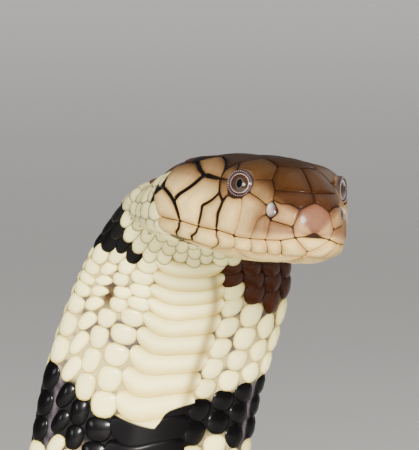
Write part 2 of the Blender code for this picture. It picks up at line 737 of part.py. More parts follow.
def add_head(collection, cutters):
    """The head with its plates, and a socket cut for each eye."""
    place = Matrix.Scale(MM, 4) @ head_matrix()
    mesh = HeadBuilder().finish()
    mesh.transform(place)
    bmesh.ops.triangulate(mesh, faces=mesh.faces[:])
    head = add_object(collection, "head", mesh, "crown")
    for side, name in ((1, "eye_right"), (-1, "eye_left")):
        centre = eye_centre(side)
        eye_mesh = sphere(EYE_RADIUS, centre, 16, 10)
        eye_mesh.transform(place)
        add_object(collection, name, eye_mesh, "eye")
        cutter_mesh = sphere(EYE_RADIUS + GAP, centre, 16, 10)
        cutter_mesh.transform(place)
        cutter = add_object(cutters, "socket_" + name, cutter_mesh, "eye")
        cutter.hide_render = True
        cutter.display_type = "WIRE"
        cut = head.modifiers.new("socket_" + name, "BOOLEAN")
        cut.operation = "DIFFERENCE"
        cut.object = cutter


def add_body(collection):
    path = body_path()
    start = HEAD_END
    for name, end, sides, spacing in LENGTHS:
        finish = "cream" if name in ("neck", "hood") else "brown"
        add_object(collection, name, loft(length_rings(path, name, start, end, sides, spacing)), finish)
        start = end


def main():
    for old in list(bpy.data.objects):
        bpy.data.objects.remove(old)
    collection = bpy.data.collections.new(COLLECTION)
    cutters = bpy.data.collections.new("cutters")
    bpy.context.scene.collection.children.link(collection)
    bpy.context.scene.collection.children.link(cutters)
    add_head(collection, cutters)
    add_body(collection)


main()
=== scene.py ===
import math
import bpy
import numpy as np
from mathutils import Matrix, Vector
from mathutils.geometry import delaunay_2d_cdt


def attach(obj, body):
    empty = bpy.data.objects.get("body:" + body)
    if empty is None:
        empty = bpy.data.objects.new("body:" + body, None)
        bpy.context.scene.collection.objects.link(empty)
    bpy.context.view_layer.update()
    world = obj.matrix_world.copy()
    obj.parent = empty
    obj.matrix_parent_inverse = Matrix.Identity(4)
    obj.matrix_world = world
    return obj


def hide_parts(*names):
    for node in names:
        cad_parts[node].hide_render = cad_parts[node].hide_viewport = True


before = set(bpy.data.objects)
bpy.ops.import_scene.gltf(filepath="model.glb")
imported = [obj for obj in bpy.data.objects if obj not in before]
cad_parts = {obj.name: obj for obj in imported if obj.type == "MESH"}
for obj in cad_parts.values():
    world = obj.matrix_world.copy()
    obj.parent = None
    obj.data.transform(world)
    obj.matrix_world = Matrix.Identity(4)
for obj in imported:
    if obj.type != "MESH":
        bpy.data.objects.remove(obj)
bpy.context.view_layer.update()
mm = 0.001
dice = np.random.default_rng(11)
print("banded water cobra: frame loaded")

# The pose: lengths in mm from the tip of the snout, as the solids have them
pose = {
    "coilCentre": (-7.92, -10.55, 0.0),
    "snout": (-18.6, -106.0, 258.0),  # from the middle of the coil
    "headTurn": 19.0,
    "headPitch": 5.5,
    "headRoll": 5.0,
    "coilStart": 165.0,
    "coilRadius": 78.0,
    "coilPitch": 53.0,
    "coilStretch": (1.05, 1.0),
    "coilTurnStep": 15.0,
    "floorPress": 0.1,  # share of the depth that the belly is pressed flat
    "floorStart": 350.0,
    "floorBlend": 70.0,
    "headEnd": 48.0,
    "vent": 1225.0,
    "totalLength": 1550.0,
}
raisedPoints = (  # centre line from the head down, and the way the belly faces
    ((-36.6, -53.4, 256.2), (-0.1, -0.55, -0.85)),
    ((-37.0, -48.4, 251.8), (0.12, -0.85, -0.5)),
    ((-37.3, -44.8, 246.3), (0.23, -0.95, -0.3)),
    ((-39.9, -41.9, 238.9), (0.25, -0.97, -0.2)),
    ((-42.7, -40.7, 230.4), (0.25, -0.98, -0.1)),
    ((-45.1, -40.2, 218.5), (0.22, -0.98, 0.0)),
    ((-53.0, -41.0, 180.0), (0.12, -1.0, 0.0)),
    ((-61.0, -44.0, 135.0), (0.06, -1.0, 0.0)),
    ((-67.0, -46.0, 95.0), (0.0, -1.0, -0.05)),
    ((-71.0, -42.0, 62.0), (0.0, -0.9, -0.35)),
    ((-74.0, -26.0, 35.0), (0.0, -0.65, -0.75)),
    ((-77.0, -4.0, 19.5), (0.0, -0.25, -0.97)),
)
headSections = (  # back, half width, crown, lip line, chin, roundness above the lip
    (0.0, 0.0, 0.5, 0.5, 0.5, 2.25),
    (0.3, 2.4, 3.2, 0.45, -0.8, 2.25),
    (1.0, 3.9, 5.1, 0.2, -1.7, 2.25),
    (2.5, 5.4, 6.4, -0.2, -2.8, 2.25),
    (5.0, 6.9, 7.9, -0.8, -3.9, 2.25),
    (8.0, 8.1, 9.1, -1.5, -4.8, 2.25),
    (12.0, 9.4, 9.7, -2.2, -5.6, 2.25),
    (16.0, 10.8, 9.8, -2.7, -6.1, 2.25),
    (22.0, 12.5, 9.4, -2.9, -6.8, 2.4),
    (27.0, 13.5, 9.0, -3.0, -7.2, 2.5),
    (32.0, 13.9, 8.0, -3.1, -7.7, 2.45),
    (38.0, 13.7, 6.0, -3.3, -8.3, 2.2),
    (44.0, 12.9, 3.4, -3.7, -8.8, 1.9),
    (48.0, 12.4, 1.6, -4.0, -9.0, 1.8),
)
lowerHeadPower = 2.4  # roundness below the lip line
# How many mm flatter the middle of the crown is than the solid's, by the way back from the snout
crownTrim = ((0.0, 0.0), (10.0, 0.10), (14.0, 0.25), (20.0, 0.50), (26.0, 0.75), (32.0, 0.80),
             (38.0, 0.50), (44.0, 0.20), (48.0, 0.0))
crownTrimSide = (18.0, 38.0)  # degrees from the crown over which it fades out
eyeSizes = {
    "back": 11.9,
    "angle": 52.2,
    "ringRadius": 2.16,
    "browLift": 0.9,
    "browTilt": 0.38,
    "browReach": 4.2,
}
bodySections = (  # along, half width, height above and depth below the centre line
    (48.0, 12.4, 5.6, 5.0),
    (53.0, 11.9, 5.2, 5.4),
    (57.0, 12.2, 5.2, 5.8),
    (60.5, 15.6, 5.7, 6.2),
    (66.0, 17.9, 6.5, 6.9),
    (74.0, 18.1, 7.0, 7.4),
    (95.0, 18.4, 7.3, 8.0),
    (120.0, 17.8, 8.0, 8.7),
    (150.0, 15.8, 9.8, 10.0),
    (190.0, 14.6, 11.6, 11.2),
    (240.0, 15.0, 13.0, 12.0),
    (330.0, 16.2, 14.5, 13.0),
    (450.0, 18.2, 16.5, 14.2),
    (620.0, 19.2, 17.5, 15.0),
    (850.0, 19.2, 17.5, 15.0),
    (1050.0, 17.6, 16.0, 13.8),
    (1180.0, 15.0, 13.6, 12.0),
    (1225.0, 13.2, 12.0, 10.7),
    (1300.0, 11.0, 10.0, 9.2),
    (1400.0, 8.0, 7.4, 6.9),
    (1500.0, 4.2, 4.0, 3.9),
    (1540.0, 1.7, 1.7, 1.7),
    (1550.0, 0.7, 0.8, 0.8),
)
bodyPowers = (  # along, roundness above and below
    (48.0, 1.8, 2.4),
    (64.0, 1.9, 1.85),
    (95.0, 1.8, 1.7),
    (150.0, 1.95, 1.95),
    (240.0, 2.1, 2.3),
    (450.0, 2.15, 2.6),
    (1225.0, 2.1, 2.5),
    (1550.0, 2.0, 2.1),
)
# How many mm the throat bulges, by the way along, and how far to each side
throatSwell = ((48.0, 0.0), (66.0, 1.2), (90.0, 1.6), (130.0, 0.9), (170.0, 0.0), (1550.0, 0.0))
throatHalfWidth = 6.5
mapStep = 0.02  # step on the head's map over which its slopes are taken
pathSamples = 4000


# A smooth curve through the rows of a table that never swings past them
def smoothCurve(rows, column):
    x = np.array([row[0] for row in rows], float)
    y = np.array([row[column] for row in rows], float)
    slopes = np.diff(y) / np.diff(x)
    tangents = np.zeros(len(x))
    tangents[0] = slopes[0]
    tangents[-1] = slopes[-1]
    for i in range(1, len(x) - 1):
        if slopes[i - 1] * slopes[i] > 0.0:
            tangents[i] = 2.0 * slopes[i - 1] * slopes[i] / (slopes[i - 1] + slopes[i])

    def evaluate(at):
        at = np.clip(np.asarray(at, float), x[0], x[-1])
        i = np.clip(np.searchsorted(x, at, side="right") - 1, 0, len(x) - 2)
        step = x[i + 1] - x[i]
        t = (at - x[i]) / step
        keep = (1.0 + 2.0 * t) * (1.0 - t) ** 2
        bend = t * (1.0 - t) ** 2 * tangents[i] + t * t * (t - 1.0) * tangents[i + 1]
        return keep * y[i] + (1.0 - keep) * y[i + 1] + step * bend

    return evaluate


# 0 below low, 1 above high and a soft rise between
def softStep(value, low, high):
    t = np.clip((np.asarray(value, float) - low) / (high - low), 0.0, 1.0)
    return t * t * (3.0 - 2.0 * t)


def unit(vectors):
    return vectors / np.maximum(np.linalg.norm(vectors, axis=-1, keepdims=True), 1e-12)


def ovalPoints(angle, halfWidth, above, below, powerAbove, powerBelow):
    across = np.sin(angle)
    upright = np.cos(angle)
    power = np.where(upright >= 0.0, powerAbove, powerBelow)
    reach = np.where(upright >= 0.0, above, below)
    right = np.sign(across) * np.abs(across) ** (2.0 / power) * halfWidth
    up = np.sign(upright) * np.abs(upright) ** (2.0 / power) * reach
    return right, up


# The head's own map: distance from the middle is the root of the way back, and the crown is up
rootSections = [(math.sqrt(row[0]),) + row[1:] for row in headSections]
headCurves = [smoothCurve(rootSections, column) for column in range(1, 6)]


def mapPlace(back, degrees):
    root = np.sqrt(back)
    turn = np.radians(degrees)
    return np.stack((root * np.sin(turn), root * np.cos(turn)), axis=-1)


def plainHead(places):
    root = np.linalg.norm(places, axis=-1)
    angle = np.arctan2(places[..., 0], places[..., 1])
    halfWidth, crown, lip, chin, power = (curve(root) for curve in headCurves)
    right, up = ovalPoints(angle, halfWidth, crown - lip, lip - chin, power, lowerHeadPower)
    return np.stack((-root * root, -right, lip + up), axis=-1)


def headNormals(places):
    east = plainHead(places + (mapStep, 0.0)) - plainHead(places - (mapStep, 0.0))
    north = plainHead(places + (0.0, mapStep)) - plainHead(places - (0.0, mapStep))
    return -unit(np.cross(east, north))


eyePlace = mapPlace(eyeSizes["back"], eyeSizes["angle"])
eyeSurface = plainHead(eyePlace)
crownTrimCurve = smoothCurve(crownTrim, 1)


def crownSink(places):
    degrees = np.abs(np.degrees(np.arctan2(places[..., 0], places[..., 1])))
    return crownTrimCurve(np.sum(places * places, axis=-1)) * (1.0 - softStep(degrees, *crownTrimSide))


def headSkin(places):
    points = plainHead(places)
    onRight = points.copy()
    onRight[..., 1] = -np.abs(points[..., 1])
    distance = np.linalg.norm(onRight - eyeSurface, axis=-1)
    ahead = onRight[..., 0] - eyeSurface[0]
    browHeight = eyeSizes["browLift"] - eyeSizes["browTilt"] * ahead
    lift = browHeight * np.exp(-(distance / eyeSizes["browReach"]) ** 2)
    lift = np.where(distance > 3.0 * eyeSizes["browReach"], 0.0, lift)
    return points + headNormals(places) * (lift - crownSink(places))[..., None]


def eyeRingPlace(degrees):
    backWay = eyePlace / np.linalg.norm(eyePlace)
    roundWay = np.array((backWay[1], -backWay[0]))
    backRun = (plainHead(eyePlace + backWay * mapStep) - eyeSurface) / mapStep
    roundRun = (plainHead(eyePlace + roundWay * mapStep) - eyeSurface) / mapStep
    backUnit = unit(backRun)
    upUnit = unit(-roundRun + backUnit * roundRun.dot(backUnit))
    turn = math.radians(degrees)
    wanted = (backUnit * math.cos(turn) + upUnit * math.sin(turn)) * eyeSizes["ringRadius"]
    roundShare = wanted.dot(upUnit) / roundRun.dot(upUnit)
    backShare = (wanted - roundRun * roundShare).dot(backUnit) / np.linalg.norm(backRun)
    return eyePlace + backWay * backShare + roundWay * roundShare


def headTurnMatrix():
    turn, pitch, roll = (math.radians(pose[key]) for key in ("headTurn", "headPitch", "headRoll"))
    forward = Vector((math.sin(turn) * math.cos(pitch), -math.cos(turn) * math.cos(pitch), -math.sin(pitch)))
    levelLeft = Vector((math.cos(turn), math.sin(turn), 0.0))
    levelUp = forward.cross(levelLeft)
    left = levelLeft * math.cos(roll) - levelUp * math.sin(roll)
    up = levelUp * math.cos(roll) + levelLeft * math.sin(roll)
    return np.array((forward, left, up)).T


headTurn = headTurnMatrix()
snoutPoint = np.array(pose["snout"]) + np.array(pose["coilCentre"])


def headToWorld(points):
    return points @ headTurn.T + snoutPoint


# The centre line of the body, the same curve as in the solids
bodyCurves = [smoothCurve(bodySections, column) for column in range(1, 4)]
powerCurves = [smoothCurve(bodyPowers, column) for column in range(1, 3)]
swellCurve = smoothCurve(throatSwell, 1)


def pathPoints():
    start = headToWorld(np.array((-pose["headEnd"], 0.0, headSections[-1][3])))
    points = [tuple(start)]
    bellies = [tuple(-headTurn[:, 2])]
    for spot, belly in raisedPoints:
        points.append(tuple(np.array(spot) + np.array(pose["coilCentre"])))
        bellies.append(belly)
    length = sum(math.dist(a, b) for a, b in zip(points, points[1:])) + pose["headEnd"]
    turn = 0.0
    while length < pose["totalLength"] + pose["coilPitch"]:
        degrees = pose["coilStart"] - turn
        radius = pose["coilRadius"] + pose["coilPitch"] * turn / 360.0
        x = pose["coilCentre"][0] + radius * pose["coilStretch"][0] * math.cos(math.radians(degrees))
        y = pose["coilCentre"][1] + radius * pose["coilStretch"][1] * math.sin(math.radians(degrees))
        depth = float(bodyCurves[2](length))
        length += math.dist(points[-1][:2], (x, y))
        points.append((x, y, depth * (1.0 - pose["floorPress"])))
        bellies.append((0.0, 0.0, -1.0))
        turn += pose["coilTurnStep"]
    return np.array(points), np.array(bellies)


def curveSlopes(points, knots, startWay):
    count = len(points)
    steps = np.diff(knots)
    matrix = np.zeros((count, count))
    right = np.zeros((count, 3))
    matrix[0, 0] = 1.0
    right[0] = startWay
    for i in range(1, count - 1):
        matrix[i, i - 1] = steps[i]
        matrix[i, i] = 2.0 * (steps[i - 1] + steps[i])
        matrix[i, i + 1] = steps[i - 1]
        before = (points[i] - points[i - 1]) / steps[i - 1]
        after = (points[i + 1] - points[i]) / steps[i]
        right[i] = 3.0 * (steps[i] * before + steps[i - 1] * after)
    matrix[-1, -1] = 2.0
    matrix[-1, -2] = 1.0
    right[-1] = 3.0 * (points[-1] - points[-2]) / steps[-1]
    return np.linalg.solve(matrix, right)


pathKnotPoints, pathBellies = pathPoints()
pathKnots = np.concatenate(([0.0], np.cumsum(np.linalg.norm(np.diff(pathKnotPoints, axis=0), axis=1))))
pathSlopes = curveSlopes(pathKnotPoints, pathKnots, -headTurn[:, 0])


def pathAtKnot(value):
    i = np.clip(np.searchsorted(pathKnots, value, side="right") - 1, 0, len(pathKnots) - 2)
    step = pathKnots[i + 1] - pathKnots[i]
    t = ((value - pathKnots[i]) / step)[:, None]
    first, last = pathKnotPoints[i], pathKnotPoints[i + 1]
    leave, reach = pathSlopes[i] * step[:, None], pathSlopes[i + 1] * step[:, None]
    spot = ((2 * t ** 3 - 3 * t ** 2 + 1) * first + (t ** 3 - 2 * t ** 2 + t) * leave
            + (3 * t ** 2 - 2 * t ** 3) * last + (t ** 3 - t ** 2) * reach)
    run = ((6 * t ** 2 - 6 * t) * first + (3 * t ** 2 - 4 * t + 1) * leave
           + (6 * t - 6 * t ** 2) * last + (3 * t ** 2 - 2 * t) * reach)
    return spot, run, pathBellies[i] * (1.0 - t) + pathBellies[i + 1] * t


fineKnots = np.linspace(0.0, pathKnots[-1], pathSamples)
fineSpots = pathAtKnot(fineKnots)[0]
fineLengths = np.concatenate(([0.0], np.cumsum(np.linalg.norm(np.diff(fineSpots, axis=0), axis=1))))


# Centre, and the ways to the right and to the back, at places along the body
def bodyFrames(along):
    value = np.interp(along - pose["headEnd"], fineLengths, fineKnots)
    spot, run, belly = pathAtKnot(value)
    tailWay = unit(run)
    dorsal = unit(tailWay * np.sum(belly * tailWay, axis=1, keepdims=True) - belly)
    return spot, np.cross(dorsal, tailWay), dorsal


# One map of the whole skin: along the body, and round it from the middle of the back to the right
skinMap = {
    "headRings": 150,
    "snoutRoot": 0.12,  # root of the mm back from the snout where the map begins
    "raisedStep": 0.6,
    "raisedEnd": 240.0,
    "coilStep": 2.0,
    "tailStep": 1.0,
    "tailStart": 1500.0,
    "columns": 288,
    "ringSamples": 720,
    "floorClear": 0.05,  # mm that everything keeps above the floor
    "smoothFrom": (50.0, 56.0),  # the shoulder of the hood is smoothed between these
    "smoothTo": (82.0, 90.0),
    "smoothPasses": 150,
}


def ringPoints(along):
    angles = np.linspace(0.0, 2.0 * math.pi, skinMap["ringSamples"] + 1)
    rings = np.zeros((len(along), len(angles), 3))
    onHead = along <= pose["headEnd"]
    root = np.sqrt(along[onHead])[:, None]
    places = np.stack((root * np.sin(angles), root * np.cos(angles)), axis=-1)
    rings[onHead] = headToWorld(headSkin(places))
    rest = along[~onHead]
    spot, rightWay, dorsal = bodyFrames(rest)
    halfWidth, above, below = (curve(rest)[:, None] for curve in bodyCurves)
    powers = [curve(rest)[:, None] for curve in powerCurves]
    settle = np.clip((rest - pose["floorStart"]) / pose["floorBlend"], 0.0, 1.0)
    spot[:, 2] += (below[:, 0] * (1.0 - pose["floorPress"]) - spot[:, 2]) * settle
    right, up = ovalPoints(angles[None, :], halfWidth, above, below, *powers)
    swell = swellCurve(rest)[:, None] * np.exp(-(right / throatHalfWidth) ** 4)
    up = np.where(up < 0.0, up - swell, up)
    rings[~onHead] = spot[:, None] + rightWay[:, None] * right[..., None] + dorsal[:, None] * up[..., None]
    rings[..., 2] = np.maximum(rings[..., 2], 0.0)
    return rings


def buildSkinMap():
    headRoots = np.linspace(skinMap["snoutRoot"], math.sqrt(pose["headEnd"]), skinMap["headRings"])
    stations = np.concatenate((
        headRoots ** 2,
        np.arange(pose["headEnd"] + skinMap["raisedStep"], skinMap["raisedEnd"], skinMap["raisedStep"]),
        np.arange(skinMap["raisedEnd"], skinMap["tailStart"], skinMap["coilStep"]),
        np.arange(skinMap["tailStart"], pose["totalLength"] + 0.5, skinMap["tailStep"]),
    ))
    rings = ringPoints(stations)
    columns = skinMap["columns"]
    shares = np.linspace(0.0, 1.0, columns + 1)
    points = np.zeros((len(stations), columns + 1, 3))
    girths = np.zeros(len(stations))
    for k, ring in enumerate(rings):
        run = np.concatenate(([0.0], np.cumsum(np.linalg.norm(np.diff(ring, axis=0), axis=1))))
        girths[k] = run[-1]
        for axis in range(3):
            points[k, :, axis] = np.interp(shares, run / run[-1], ring[:, axis])
    weight = softStep(stations, *skinMap["smoothFrom"]) * (1.0 - softStep(stations, *skinMap["smoothTo"]))
    for _ in range(skinMap["smoothPasses"]):
        points[1:-1] += (0.25 * (points[:-2] + points[2:]) - 0.5 * points[1:-1]) * weight[1:-1, None, None]
    lengthwise = np.gradient(points, axis=0)
    wrapped = np.concatenate((points[:, -2:-1], points, points[:, 1:2]), axis=1)
    crosswise = wrapped[:, 2:] - wrapped[:, :-2]
    normals = unit(np.cross(crosswise, lengthwise))
    outward = points - points[:, :-1].mean(axis=1, keepdims=True)
    if np.sum(normals * outward) < 0.0:
        normals = -normals
    return stations, points, normals, girths


stations, mapPoints, mapNormalWays, stationGirths = buildSkinMap()


def girth(along):
    return np.interp(along, stations, stationGirths)


def onSkin(along, turn, lift):
    row = np.interp(along, stations, np.arange(len(stations)))
    i = np.clip(row.astype(int), 0, len(stations) - 2)
    fi = (row - i)[..., None]
    column = np.mod(turn, 1.0) * skinMap["columns"]
    j = np.clip(column.astype(int), 0, skinMap["columns"] - 1)
    fj = (column - j)[..., None]

    def blend(grid):
        near = grid[i, j] * (1.0 - fj) + grid[i, j + 1] * fj
        far = grid[i + 1, j] * (1.0 - fj) + grid[i + 1, j + 1] * fj
        return near * (1.0 - fi) + far * fi

    points = blend(mapPoints) + blend(mapNormalWays) * lift[..., None]
    points[..., 2] = np.maximum(points[..., 2], skinMap["floorClear"])
    return points


print("skin map:", len(stations), "rings")

# Corners of the head plates' right half: mm back from the snout, and degrees round from the crown
headCorners = {
    "rostralTop": (1.2, 0.0),
    "internasalFront": (0.9, 36.0),
    "rostralSide": (0.7, 76.0),
    "lipMiddle": (0.0, 0.0),
    "lip1": (0.45, 104.0),
    "lip2": (1.8, 106.0),
    "lip3": (4.0, 99.0),
    "lip4": (6.9, 93.6),
    "lip5": (10.4, 89.6),
    "lip6": (14.4, 87.3),
    "lip7": (18.7, 87.8),
    "lip8": (23.6, 88.0),
    "lip9": (27.1, 89.0),
    "mouthCorner": (30.6, 89.2),
    "internasalBack": (2.7, 0.0),
    "internasalSide": (5.8, 41.5),
    "nasalInner": (2.3, 41.5),
    "nasalTop": (3.3, 50.0),
    "nostrilTop": (4.9, 51.5),
    "nostrilBack": (5.5, 60.5),
    "nostrilLow": (3.7, 74.0),
    "nostrilFront": (2.8, 61.5),
    "secondLabialTop": (4.8, 69.5),
    "secondLabialBack": (6.1, 76.5),
    "prefrontalBack": (8.9, 0.0),
    "prefrontalSide": (8.1, 33.5),
    "supraocularFront": (10.5, 17.8),
    "frontalSide": (17.0, 14.0),
    "frontalTip": (18.8, 0.0),
    "supraocularBack": (16.8, 34.0),
    "postocularTop": (18.3, 43.5),
    "postocularBack": (17.2, 52.2),
    "postocularLow": (15.2, 62.8),
    "fourthLabialTop": (13.8, 68.3),
    "fourthLabialBack": (14.5, 77.0),
    "fifthLabialBack": (18.8, 74.5),
    "temporalLow": (22.3, 51.6),
    "temporalBack": (24.2, 48.6),
    "temporalCrown": (27.9, 40.6),
    "parietalSide": (26.0, 24.0),
    "parietalBack": (35.5, 26.0),
    "parietalMid": (35.0, 10.0),
    "parietalSeam": (33.8, 0.0),
    "cheekSeam": (25.5, 72.5),
    "cheekLow": (26.5, 78.0),
    "rearTemporalTop": (33.6, 43.0),
    "rearTemporalCorner": (35.0, 49.0),
    "rearTemporalBack": (33.4, 61.0),
    "lastLabialTop": (32.0, 69.5),
    "lastLabialBack": (34.9, 76.0),
    "mentalTip": (1.8, 180.0),
    "firstLowerTip": (3.3, 180.0),
    "lower1": (4.6, 156.0),
    "lower2": (5.9, 142.0),
    "lower3": (8.7, 131.5),
    "lower4": (11.5, 119.0),
    "lower5": (16.9, 124.5),
    "lower6": (21.2, 115.0),
    "lower6Back": (20.5, 102.2),
    "lower7": (25.3, 113.5),
    "lower7Back": (24.8, 103.0),
    "lower8": (29.8, 114.5),
    "lower8Back": (31.6, 102.5),
    "lastLabialLow": (33.6, 84.2),
    "sublabialBack": (25.0, 122.0),
    "chinFrontSide": (12.6, 150.0),
    "chinFrontMid": (11.6, 180.0),
    "chinBackSide": (20.0, 137.0),
    "chinBackCorner": (21.5, 160.0),
    "chinBackMid": (20.0, 180.0),
}
# Corners on the ring round the eye, in degrees: 0 is to the back, 90 to the crown, 180 to the front
eyeCorners = {
    "eyeBack": 0.0,
    "eyeTopBack": 45.0,
    "eyeTopFront": 140.0,
    "eyeFront": 195.0,
    "eyeLowFront": 228.0,
    "eyeLowBack": 296.0,
}
lipLine = ("lipMiddle", "lip1", "lip2", "lip3", "lip4", "lip5", "lip6", "lip7", "lip8", "lip9",
            "mouthCorner")
midline = ("rostralTop", "lipMiddle", "internasalBack", "prefrontalBack", "frontalTip", "parietalSeam",
           "mentalTip", "firstLowerTip", "chinFrontMid", "chinBackMid")

# Plates of the right half, by their corners; the left half mirrors them
sidePlates = {
    "internasal": "rostralTop internasalFront nasalInner nasalTop nostrilTop internasalSide internasalBack",
    "prenasal": "internasalFront rostralSide nostrilLow nostrilFront nostrilTop nasalTop nasalInner",
    "prefrontal": "internasalBack internasalSide prefrontalSide supraocularFront prefrontalBack",
    "preocular": "prefrontalSide internasalSide nostrilTop nostrilBack eyeFront eyeTopFront",
    "supraocular": "supraocularFront prefrontalSide eyeTopFront eyeTopBack supraocularBack frontalSide",
    "upperPostocular": "eyeTopBack eyeBack postocularBack postocularTop supraocularBack",
    "lowerPostocular": "eyeBack eyeLowBack fourthLabialTop postocularLow postocularBack",
    "parietal": "frontalTip frontalSide supraocularBack postocularTop parietalSide temporalCrown "
                "parietalBack parietalMid parietalSeam",
    "temporal": "postocularTop postocularBack temporalLow temporalBack temporalCrown parietalSide",
    "rearTemporal": "temporalLow cheekSeam cheekLow lastLabialTop rearTemporalBack "
                     "rearTemporalCorner rearTemporalTop temporalCrown temporalBack",
    "upperLabial1": "rostralSide lip1 lip2 lip3 nostrilLow",
    "upperLabial2": "nostrilLow lip3 lip4 secondLabialBack secondLabialTop",
    "upperLabial3": "nostrilBack secondLabialTop secondLabialBack lip4 lip5 eyeLowFront eyeFront",
    "upperLabial4": "eyeLowFront lip5 lip6 fourthLabialBack fourthLabialTop eyeLowBack",
    "upperLabial5": "fourthLabialTop fourthLabialBack lip6 lip7 fifthLabialBack postocularLow",
    "upperLabial6": "postocularBack postocularLow fifthLabialBack lip7 lip8 cheekLow cheekSeam temporalLow",
    "upperLabial7": "cheekLow lip8 lip9 mouthCorner lastLabialLow lastLabialBack lastLabialTop",
    "lowerLabial1": "lip1 mentalTip firstLowerTip lower1 lip2",
    "lowerLabial2": "lip2 lower1 lower2 lip3",
    "lowerLabial3": "lip3 lower2 lower3 lip4",
    "lowerLabial4": "lip4 lower3 lower4 lip5",
    "lowerLabial5": "lip5 lower4 lower5 lip6",
    "lowerLabial6": "lip6 lower5 lower6 lower6Back lip7",
    "lowerLabial7": "lip7 lower6Back lower6 lower7 lower7Back lip8",
    "lowerLabial8": "lip8 lower7Back lower7 lower8 lower8Back mouthCorner lip9",
    "frontChinShield": "firstLowerTip chinFrontMid chinFrontSide lower4 lower3 lower2 lower1",
    "backChinShield": "chinFrontMid chinBackMid chinBackCorner chinBackSide lower5 lower4 chinFrontSide",
    "sublabial": "lower5 chinBackSide sublabialBack lower6",
}
nostrilCorners = "nostrilTop nostrilFront nostrilLow secondLabialTop nostrilBack"
# Plates that cross the midline, by their right half from one end to the other
middlePlates = {
    "rostral": "rostralTop internasalFront rostralSide lip1 lipMiddle",
    "frontal": "prefrontalBack supraocularFront frontalSide frontalTip",
    "mental": "lipMiddle lip1 mentalTip",
}
# Where the plates end and the small scales begin, from the crown round to the throat
plateBorder = ("parietalSeam parietalMid parietalBack temporalCrown rearTemporalTop "
                "rearTemporalCorner rearTemporalBack lastLabialTop lastLabialBack lastLabialLow mouthCorner "
                "lower8Back lower8 lower7 lower6 sublabialBack chinBackSide chinBackCorner chinBackMid")


# Meshes from arrays: points in mm, triangles, values per point, and the unwrap for the baked colours
def makePiece(name, points, triangles, values, uvs=None):
    mesh = bpy.data.meshes.new(name)
    mesh.vertices.add(len(points))
    mesh.vertices.foreach_set("co", (np.asarray(points, float) * mm).astype(np.float32).ravel())
    mesh.loops.add(len(triangles) * 3)
    mesh.loops.foreach_set("vertex_index", np.asarray(triangles, np.int32).ravel())
    mesh.polygons.add(len(triangles))
    mesh.polygons.foreach_set("loop_start", np.arange(0, len(triangles) * 3, 3, dtype=np.int32))
    mesh.update(calc_edges=True)
    for key, row in values.items():
        layer = mesh.attributes.new(key, "FLOAT", "POINT")
        layer.data.foreach_set("value", np.asarray(row, np.float32).ravel())
    if uvs is not None:
        layer = mesh.uv_layers.new(name="OFBake")
        layer.data.foreach_set("uv", uvs[np.asarray(triangles).ravel()].astype(np.float32).ravel())
    mesh.shade_smooth()
    mesh.validate()
    piece = bpy.data.objects.new(name, mesh)
    bpy.context.scene.collection.objects.link(piece)
    print(name, len(mesh.polygons), "triangles")
    return piece


def joined(found):
    return [np.concatenate(column) for column in zip(*found)]


def facingOut(points, triangles):
    a, b, c = ((points - points.mean(0))[triangles[:, k]] for k in range(3))
    return triangles if np.sum(np.cross(a, b) * c) > 0.0 else triangles[:, ::-1]


def tubeTriangles(rings, columns, closed=False):
    i, j = np.meshgrid(np.arange(rings if closed else rings - 1), np.arange(columns), indexing="ij")
    after, following = (i + 1) % rings, (j + 1) % columns
    a, b = i * columns + j, i * columns + following
    c, d = after * columns + following, after * columns + j
    return np.concatenate([np.stack(corners, -1).reshape(-1, 3) for corners in ((a, b, c), (a, c, d))])


# The same with its two ends closed by a last point each, which follow the points of the rings
def closedTube(rings, columns):
    fan = np.arange(columns)
    following = (fan + 1) % columns
    last, count = (rings - 1) * columns, rings * columns
    return np.concatenate((
        tubeTriangles(rings, columns),
        np.stack((np.full(columns, count), following, fan), -1),
        np.stack((np.full(columns, count + 1), last + fan, last + following), -1),
    ))


def capTriangles(first, count, flipped=False):
    ahead, behind = (0, 1) if flipped else (1, 0)
    return np.array([(first, first + k + ahead, first + k + behind) for k in range(1, count - 1)])


def repeated(triangles, count, size):
    return (np.arange(count)[:, None, None] * size + triangles[None]).reshape(-1, 3)


